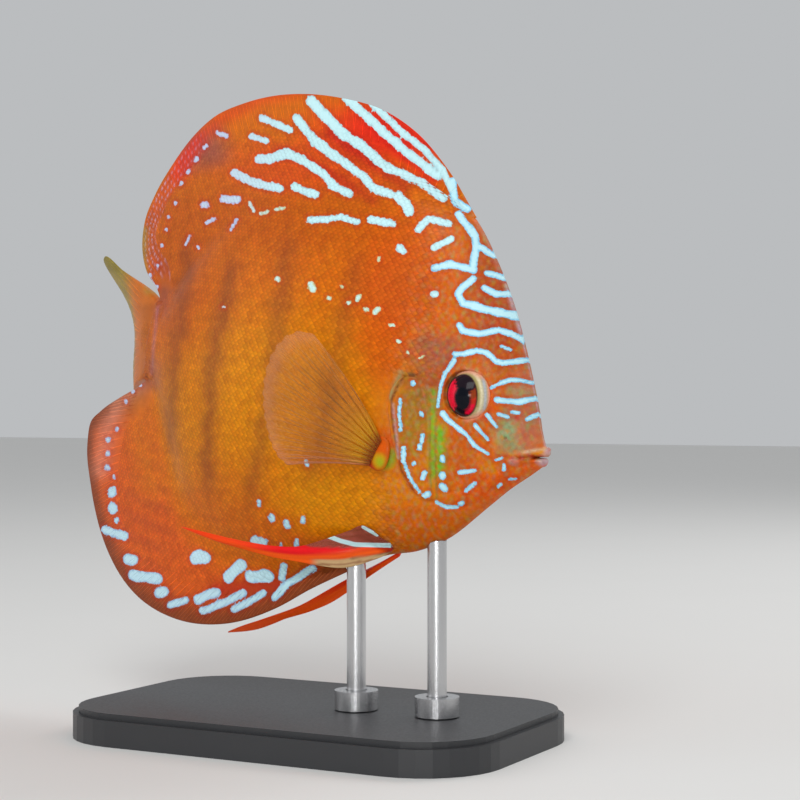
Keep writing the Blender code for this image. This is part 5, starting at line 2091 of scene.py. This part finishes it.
    def build_rays(self, tree: Tree, material: Material) -> Piece:
        """Make the fan's rays, each forking twice."""
        rays, spots = [], []
        run = np.linspace(0.0, 1.0, 26)
        for number in range(self.ray_count):
            for outer, inner in ((-1.0, -1.0), (-1.0, 1.0), (1.0, -1.0), (1.0, 1.0)):
                fork = 0.19 * outer * rise(run, 0.35, 0.4) + 0.09 * inner * rise(run, 0.68, 0.3)
                share = np.clip(number / (self.ray_count - 1) + fork / (self.ray_count - 1), 0.0, 1.0)
                rays.append(RayLine(self.fan(share, run), 0.00021 * (1 - run) ** 0.9 + 0.000055))
                spots.append(np.stack([share, run], 1))
        mesh = sweep_rays(tree, rays, spots, material, sides=5)
        spot = read_vector(mesh, "spot")
        mesh.attributes.remove(mesh.attributes["spot"])
        colour, veil = self.tints(spot[:, 0], spot[:, 1], True)
        return self.finish(mesh, "pectoral_rays_", colour, veil, material)

    def finish(self, mesh: Mesh, name: str, colour: Array, veil: Array,
               material: Material) -> Piece:
        """Store colours and veil, and link the piece."""
        store_colour(mesh, "tint", colour)
        store_colour(mesh, "pale_tint", colour)
        store_number(mesh, "pale", np.full(len(colour), -1.0))
        store_number(mesh, "veil", veil)
        return add_piece(name + self.side.word, mesh, material)

    def build_lobe(self, material: Material) -> Piece:
        """Make the fleshy crescent that the rays spring from."""
        bm = bmesh.new()
        bmesh.ops.create_icosphere(bm, subdivisions=5, radius=1.0)
        mesh = bpy.data.meshes.new("lobe")
        bm.to_mesh(mesh)
        bm.free()
        unit = read_places(mesh)
        flat = np.stack([unit[:, 0] * self.lobe_radii[0], unit[:, 2] * self.lobe_radii[2]], 1)
        flat[:, 0] += 0.0002 - 0.0010 * unit[:, 2] ** 2
        flat += self.root
        y = float(self.skin.half(np.array([self.root]))[0]) - 0.0001 + unit[:, 1] * self.lobe_radii[1]
        ridge = 0.00006 * np.cos(unit[:, 2] * 22.0) * smooth_step(unit[:, 0])
        coords = self.skin.form.place(with_depth(flat, self.side.value * (y + ridge)))
        mesh.vertices.foreach_set("co", coords.astype(np.float32).ravel())
        mesh.shade_smooth()
        outward(mesh)
        x, _, z = unit.T
        reach = np.hypot(x, z)
        spot = np.hypot((x + 0.45) / 0.80, (z + 0.45) / 0.72)
        colour = layered(
            Tint.RUST.over(len(flat)),
            (Tint.FRONT, 0.8 * rise(z, -0.2, 0.6)),
            (Tint.CRIMSON, 0.60 * rise(reach, 0.30, 0.35) * rise(x, -0.05, 0.4)),
            (Tint.GOLD, 0.8 * fall(spot, 0.4, 0.6)),
            (Tint.GREEN, 0.60 * fall(spot, 0.0, 0.9)),
            (Tint.RUST, 0.7 * rise(reach, 0.75, 0.2) * smooth_step(-x / 0.3)),
        )
        return self.finish(mesh, "pectoral_lobe_", colour, np.ones(len(flat)), material)


@dataclass(frozen=True)
class PelvicShape:
    """Route of a pelvic fin in fish coordinates, and its edges over that route along its length."""

    route: Points
    lower: Points
    upper: Points
    end: float


PELVIC_SHAPES = {
    Side.RIGHT: PelvicShape(
        tenths(
            335, -20, -322, 440, -85, -363, 580, -135, -392, 740, -175, -412, 895, -200, -418,
            size=3),
        edge_heights(
            0, 6, 5, -6, 10, -13, 20, -21, 30, -14, 40, -6, 50, 0, 60, 9, 70, 16, 80, 23, 91, 31),
        edge_heights(
            0, 26, 5, 46, 10, 72, 15, 84, 20, 76, 30, 54, 40, 33, 50, 29, 60, 31, 70, 34, 80, 36, 91, 34),
        0.91),
    Side.LEFT: PelvicShape(
        tenths(
            340, 20, -335, 500, 85, -465, 660, 110, -585, 800, 125, -650, 940, 135, -695,
            size=3),
        edge_heights(
            0, -2, 20, -3, 40, -9, 50, -1, 60, 6, 66, 7, 72, 2, 80, -5, 90, -9, 100, -10),
        edge_heights(
            0, 12, 10, 17, 20, 24, 30, 31, 50, 36, 60, 32, 70, 28, 80, 21, 90, 10, 100, -6),
        1.0),
}
PELVIC_STROKES = strokes(
    Tint.GLEAM, (4.6, 0, 328, 536, 341, 541, 355, 544.5, 392, 545.5), (3.4, 0, 363, 527, 377, 535),
)


@dataclass
class PelvicFin:
    """Trailing pelvic fin: membrane at the root, running out into a red streamer."""

    skin: Skin
    camera: PhotoCamera
    side: Side
    half: float = 0.00022
    gap: float = 0.0008
    along: int = 130
    across: int = 20
    crest: Points = edge_heights(0, 16, 5, 19, 15, 26, 25, 31, 35, 31, 42, 40)
    stripe: Points = edge_heights(0, 18, 5, 23, 10, 32, 20, 47, 28, 64)

    @property
    def shape(self) -> PelvicShape:
        """Route and edges of this side's fin."""
        return PELVIC_SHAPES[self.side]

    def edges(self, t: Array) -> tuple[Array, Array]:
        """Lower and upper edge of the blade over its route at shares t of its length."""
        return hermite(self.shape.lower, t), hermite(self.shape.upper, t)

    def blade(self, t: Array, share: Array, lift: Array | float) -> Array:
        """World places on the blade.

        Args:
            t: Place along the route from 0 to 1.
            share: Place across it from 0 at the lower edge to 1 at the upper edge.
            lift: Distance off its middle surface.

        Returns:
            World places.
        """
        line = smooth_path(self.shape.route, 80)
        run = np.linspace(0.0, 1.0, len(line))
        centre = np.stack([np.interp(t, run, line[:, axis]) for axis in range(3)], 1)
        lower, upper = self.edges(t)
        centre[:, 2] += lower + (upper - lower) * share
        clear = self.skin.form.body_half(centre[:, (0, 2)]) + self.gap
        pleat = 0.00012 * np.sin((lower + (upper - lower) * share) / 0.00030) * (1 - smooth_step(t / 0.5))
        sign = self.side.value
        centre[:, 1] = sign * (np.maximum(np.abs(centre[:, 1]), clear) + pleat + lift)
        return self.skin.form.place(centre)

    def paint(self, t: Array, share: Array) -> tuple[Array, Array]:
        """Colours and veil of the blade."""
        lower, upper = self.edges(t)
        height = lower + (upper - lower) * share
        rays = 0.5 + 0.5 * np.sin(height / 0.00022)
        if self.side is Side.LEFT:
            flame = 0.8 * rise(share, 0.45, 0.3) * smooth_step((0.6 - t) / 0.3)
            red = 0.4 * (1 - smooth_step(t / 0.06)) + 0.12 * rays
            return layered(Tint.BLAZE.over(len(t)), (Tint.FLAME, flame), (Tint.FIN_RED, red)), np.ones(len(t))
        web = rise(height, np.interp(t, *zip(*self.crest)), 0.0005)
        top = rise(height, np.interp(t, *zip(*self.stripe)) + 0.0002, 0.0006) * fall(t, 0.30, 0.08)
        fold = smooth_step((0.0005 - height) / 0.0004) * fall(t, 0.30, 0.05)
        colour = layered(
            Tint.FIN_ORANGE.over(len(t)),
            (Tint.FIN_RED, rise(share, 0.30, 0.25) * (1 - 0.8 * rise(t, 0.45, 0.3))),
            (Tint.FLAME, 0.6 * rise(t, 0.45, 0.4)),
            (Tint.CRIMSON, 0.8 * (1 - smooth_step(t / 0.07))),
            (Tint.CRIMSON, 0.30 * rays * (1 - 0.6 * smooth_step(t / 0.6))),
            (Tint.MAUVE, 0.85 * web),
            (Tint.BROWN, 0.5 * np.maximum(top, 0.6 * web) * rays),
            (Tint.PALE_TAN, fold),
            (Tint.BROWN, 0.6 * fold * rise(rays, 0.45, 0.3)),
        )
        return colour, 1.0 - 0.40 * web - 0.10 * fold

    def build(self, material: Material) -> Piece:
        """Make the blade as a closed shell.

        Args:
            material: Finish of the blade.

        Returns:
            The piece.
        """
        turn = np.linspace(0.0, 2 * math.pi, 2 * self.across, endpoint=False)
        count = len(turn)
        t = np.repeat(np.linspace(0.0, self.shape.end, self.along), count)
        share = np.tile(0.5 - 0.5 * np.cos(turn), self.along)
        lower, upper = self.edges(t)
        height = lower + (upper - lower) * share
        core = 0.00045 * bell(height - 0.0012 - 0.0016 * t, 0.0011) * (1 - 0.4 * t)
        thin = np.clip((upper - lower) / 0.0012, 0.15, 1.0)
        coords = self.blade(t, share, np.tile(np.sin(turn), self.along) * (self.half + core) * thin)
        after = next_in_ring(count)
        last = (self.along - 1) * count
        faces = [(row + k, row + after[k], row + count + after[k], row + count + k)
                 for row in range(0, last, count) for k in range(count)]
        faces.append(tuple(range(count)))
        faces.append(tuple(last + k for k in reversed(range(count))))
        mesh = outward(mesh_from("blade", coords, faces))
        colour, veil = self.paint(t, share)
        depth = np.full(len(t), -1.0)
        if self.side is Side.RIGHT:
            places = self.camera.pixels(coords)
            for stroke in PELVIC_STROKES.strokes:
                gap, _ = line_distance(stroke.line, places)
                depth = np.maximum(depth, (0.5 * stroke.width - gap) * self.skin.marks.pixel / MM)
        store_colour(mesh, "tint", colour)
        store_colour(mesh, "pale_tint", PELVIC_STROKES.tint.over(len(t)))
        store_number(mesh, "pale", np.clip(depth, -1.0, 1.0))
        store_number(mesh, "veil", veil)
        return add_piece("pelvic_blade_" + self.side.word, mesh, material)


@dataclass(frozen=True)
class Stand:
    """Flat base, rods and rings that hold the fish up."""

    streaks: Tree

    def dress(self) -> None:
        """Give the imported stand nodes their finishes."""
        satin = StandFinish("satin_base", self.streaks, colour=(0.030, 0.031, 0.034), metallic=0.0,
                            roughness=(0.34, 0.52), size=0.0006, bump=0.00002).build()
        steel = StandFinish("brushed_steel", self.streaks, colour=(0.62, 0.62, 0.63), metallic=1.0,
                            roughness=(0.18, 0.34), size=0.0003, bump=0.00001).build()
        for node in bpy.data.objects:
            if node.name.startswith("stand_"):
                node.data.materials.clear()
                node.data.materials.append(satin if node.name == "stand_base" else steel)


@dataclass(frozen=True)
class Studio:
    """Plain pale floor and soft lights."""

    floor_size: float = 6.0
    floor_tint: tuple[float, float, float] = (0.78, 0.77, 0.75)
    sky_tint: tuple[float, float, float] = (0.80, 0.82, 0.84)
    sky_strength: float = 0.62

    def build_floor(self) -> None:
        """Lay the floor."""
        half = 0.5 * self.floor_size
        corners = np.array(((-half, -half, 0.0), (half, -half, 0.0), (half, half, 0.0), (-half, half, 0.0)))
        nodes = new_material("studio_floor", {"Roughness": 0.75})
        dark = tuple(0.985 * part for part in self.floor_tint)
        cloud = nodes.blend(nodes.noise(0.05, 3.0), (*dark, 1.0), (*self.floor_tint, 1.0))
        nodes.feed(nodes.shader, {"Base Color": cloud})
        add_piece("studio_floor", mesh_from("floor", corners, [(0, 1, 2, 3)]), nodes.material)

    def add_light(self, name: str, place: tuple, aim: tuple, size: float, power: float,
                  spread: float = math.pi) -> None:
        """Hang one soft square light."""
        data = bpy.data.lights.new(name, "AREA")
        data.shape = "SQUARE"
        data.size = size
        data.energy = power
        data.spread = spread
        light = bpy.data.objects.new(name, data)
        light.location = place
        light.rotation_euler = (Vector(place) - Vector(aim)).to_track_quat("Z", "Y").to_euler()
        bpy.context.scene.collection.objects.link(light)

    def build(self) -> None:
        """Set up floor, sky and lights."""
        self.build_floor()
        world = bpy.data.worlds.new("studio_sky")
        world.use_nodes = True
        background = world.node_tree.nodes["Background"]
        background.inputs["Color"].default_value = (*self.sky_tint, 1.0)
        background.inputs["Strength"].default_value = self.sky_strength
        bpy.context.scene.world = world
        bpy.context.scene.view_settings.view_transform = "Standard"
        middle = (0.0, 0.0, 0.09)
        self.add_light("key", (0.25, -0.75, 0.85), middle, 0.55, 4.9)
        self.add_light("fill", (-0.85, -0.45, 0.35), middle, 0.6, 0.9)
        self.add_light("low", (0.24, -0.62, 0.064), (0.02, 0.0, 0.07), 0.12, 0.050, math.radians(50.0))
        self.add_light("rim", (0.35, 0.70, 0.70), middle, 0.5, 2.6)


FISH_NODES = ("head", "gill_cover_right", "gill_cover_left", "trunk", "tail_stem",
              "dorsal_fin", "anal_fin", "caudal_fin")


def note_piece(piece: Piece, *nodes: str) -> None:
    """Hang a piece on the body, hide the nodes it stands for and report it."""
    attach(piece, "root")
    if nodes:
        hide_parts(*nodes)
    triangles = sum(len(face.vertices) - 2 for face in piece.data.polygons)
    LOG.info("%s: %d triangles", piece.name, triangles)


def median_rays(skin: Skin) -> list[FinRays]:
    """Rays of the dorsal, anal and tail fins."""
    form = skin.form
    back = np.linspace(0.0360, 0.1325, 60)
    belly = np.linspace(0.0485, 0.1325, 60)
    dorsal_base = np.stack([back, hermite(form.back, back) - 0.0010], 1)
    anal_base = np.stack([belly, hermite(form.belly, belly) + 0.0010], 1)
    dorsal_edge = smooth_path(form.dorsal_edge, 400)[16:376]
    anal_edge = smooth_path(form.anal_edge, 400)[14:376]
    tail_base = np.array(((0.1335, 0.0118), (0.1335, -0.0072)))
    tail_edge = smooth_path(form.caudal_edge, 400)[118:300]
    return [
        FinRays(skin, "dorsal_rays", dorsal_base, dorsal_edge, 54, spines=9),
        FinRays(skin, "anal_rays", anal_base, anal_edge, 58, spines=8, tip_thick=0.00014),
        FinRays(skin, "caudal_rays", tail_base, tail_edge, 14, split_at=0.35, start=0.22),
    ]


def main() -> None:
    """Build the fish and its stand, and report each piece."""
    logging.basicConfig(level=logging.INFO, format="%(name)s %(message)s")
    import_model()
    camera = PhotoCamera()
    camera.build()
    form = FishForm()
    relief = HeadRelief(form)
    plan = FlatPlan(form, relief)
    marks = Markings(form, camera)
    skin = Skin(form, relief, plan, marks)
    group = fish_marks_group()
    flesh = FleshFinish("fish_skin", group).build()
    scales = FleshFinish("fish_scales", group, roughness=(0.28, 0.42), ragged=0.22, bump=0.00002).build()
    clear = FleshFinish("fin_film", group, ragged=0.0, speckle=0.08, bump=0.00001, veil="veil").build()
    cornea = EyeFinish().build()
    rays = ray_tree()
    note_piece(skin.build(flesh), *FISH_NODES)
    coat = ScaleCoat(skin)
    rows = scale_tree()
    for side in Side:
        for piece in coat.build(side, rows, scales):
            note_piece(piece)
        note_piece(Eye(relief, side).build(cornea), "eye_" + side.word)
        fan = PectoralFin(skin, side)
        note_piece(fan.build_membrane(clear), "pectoral_fin_" + side.word)
        note_piece(fan.build_rays(rays, clear))
        note_piece(fan.build_lobe(flesh))
        note_piece(PelvicFin(skin, camera, side).build(clear), "pelvic_fin_" + side.word)
    for fin in median_rays(skin):
        note_piece(fin.build(rays, flesh))
    Stand(brushed_group()).dress()
    Studio().build()


if __name__ == "__main__":
    main()
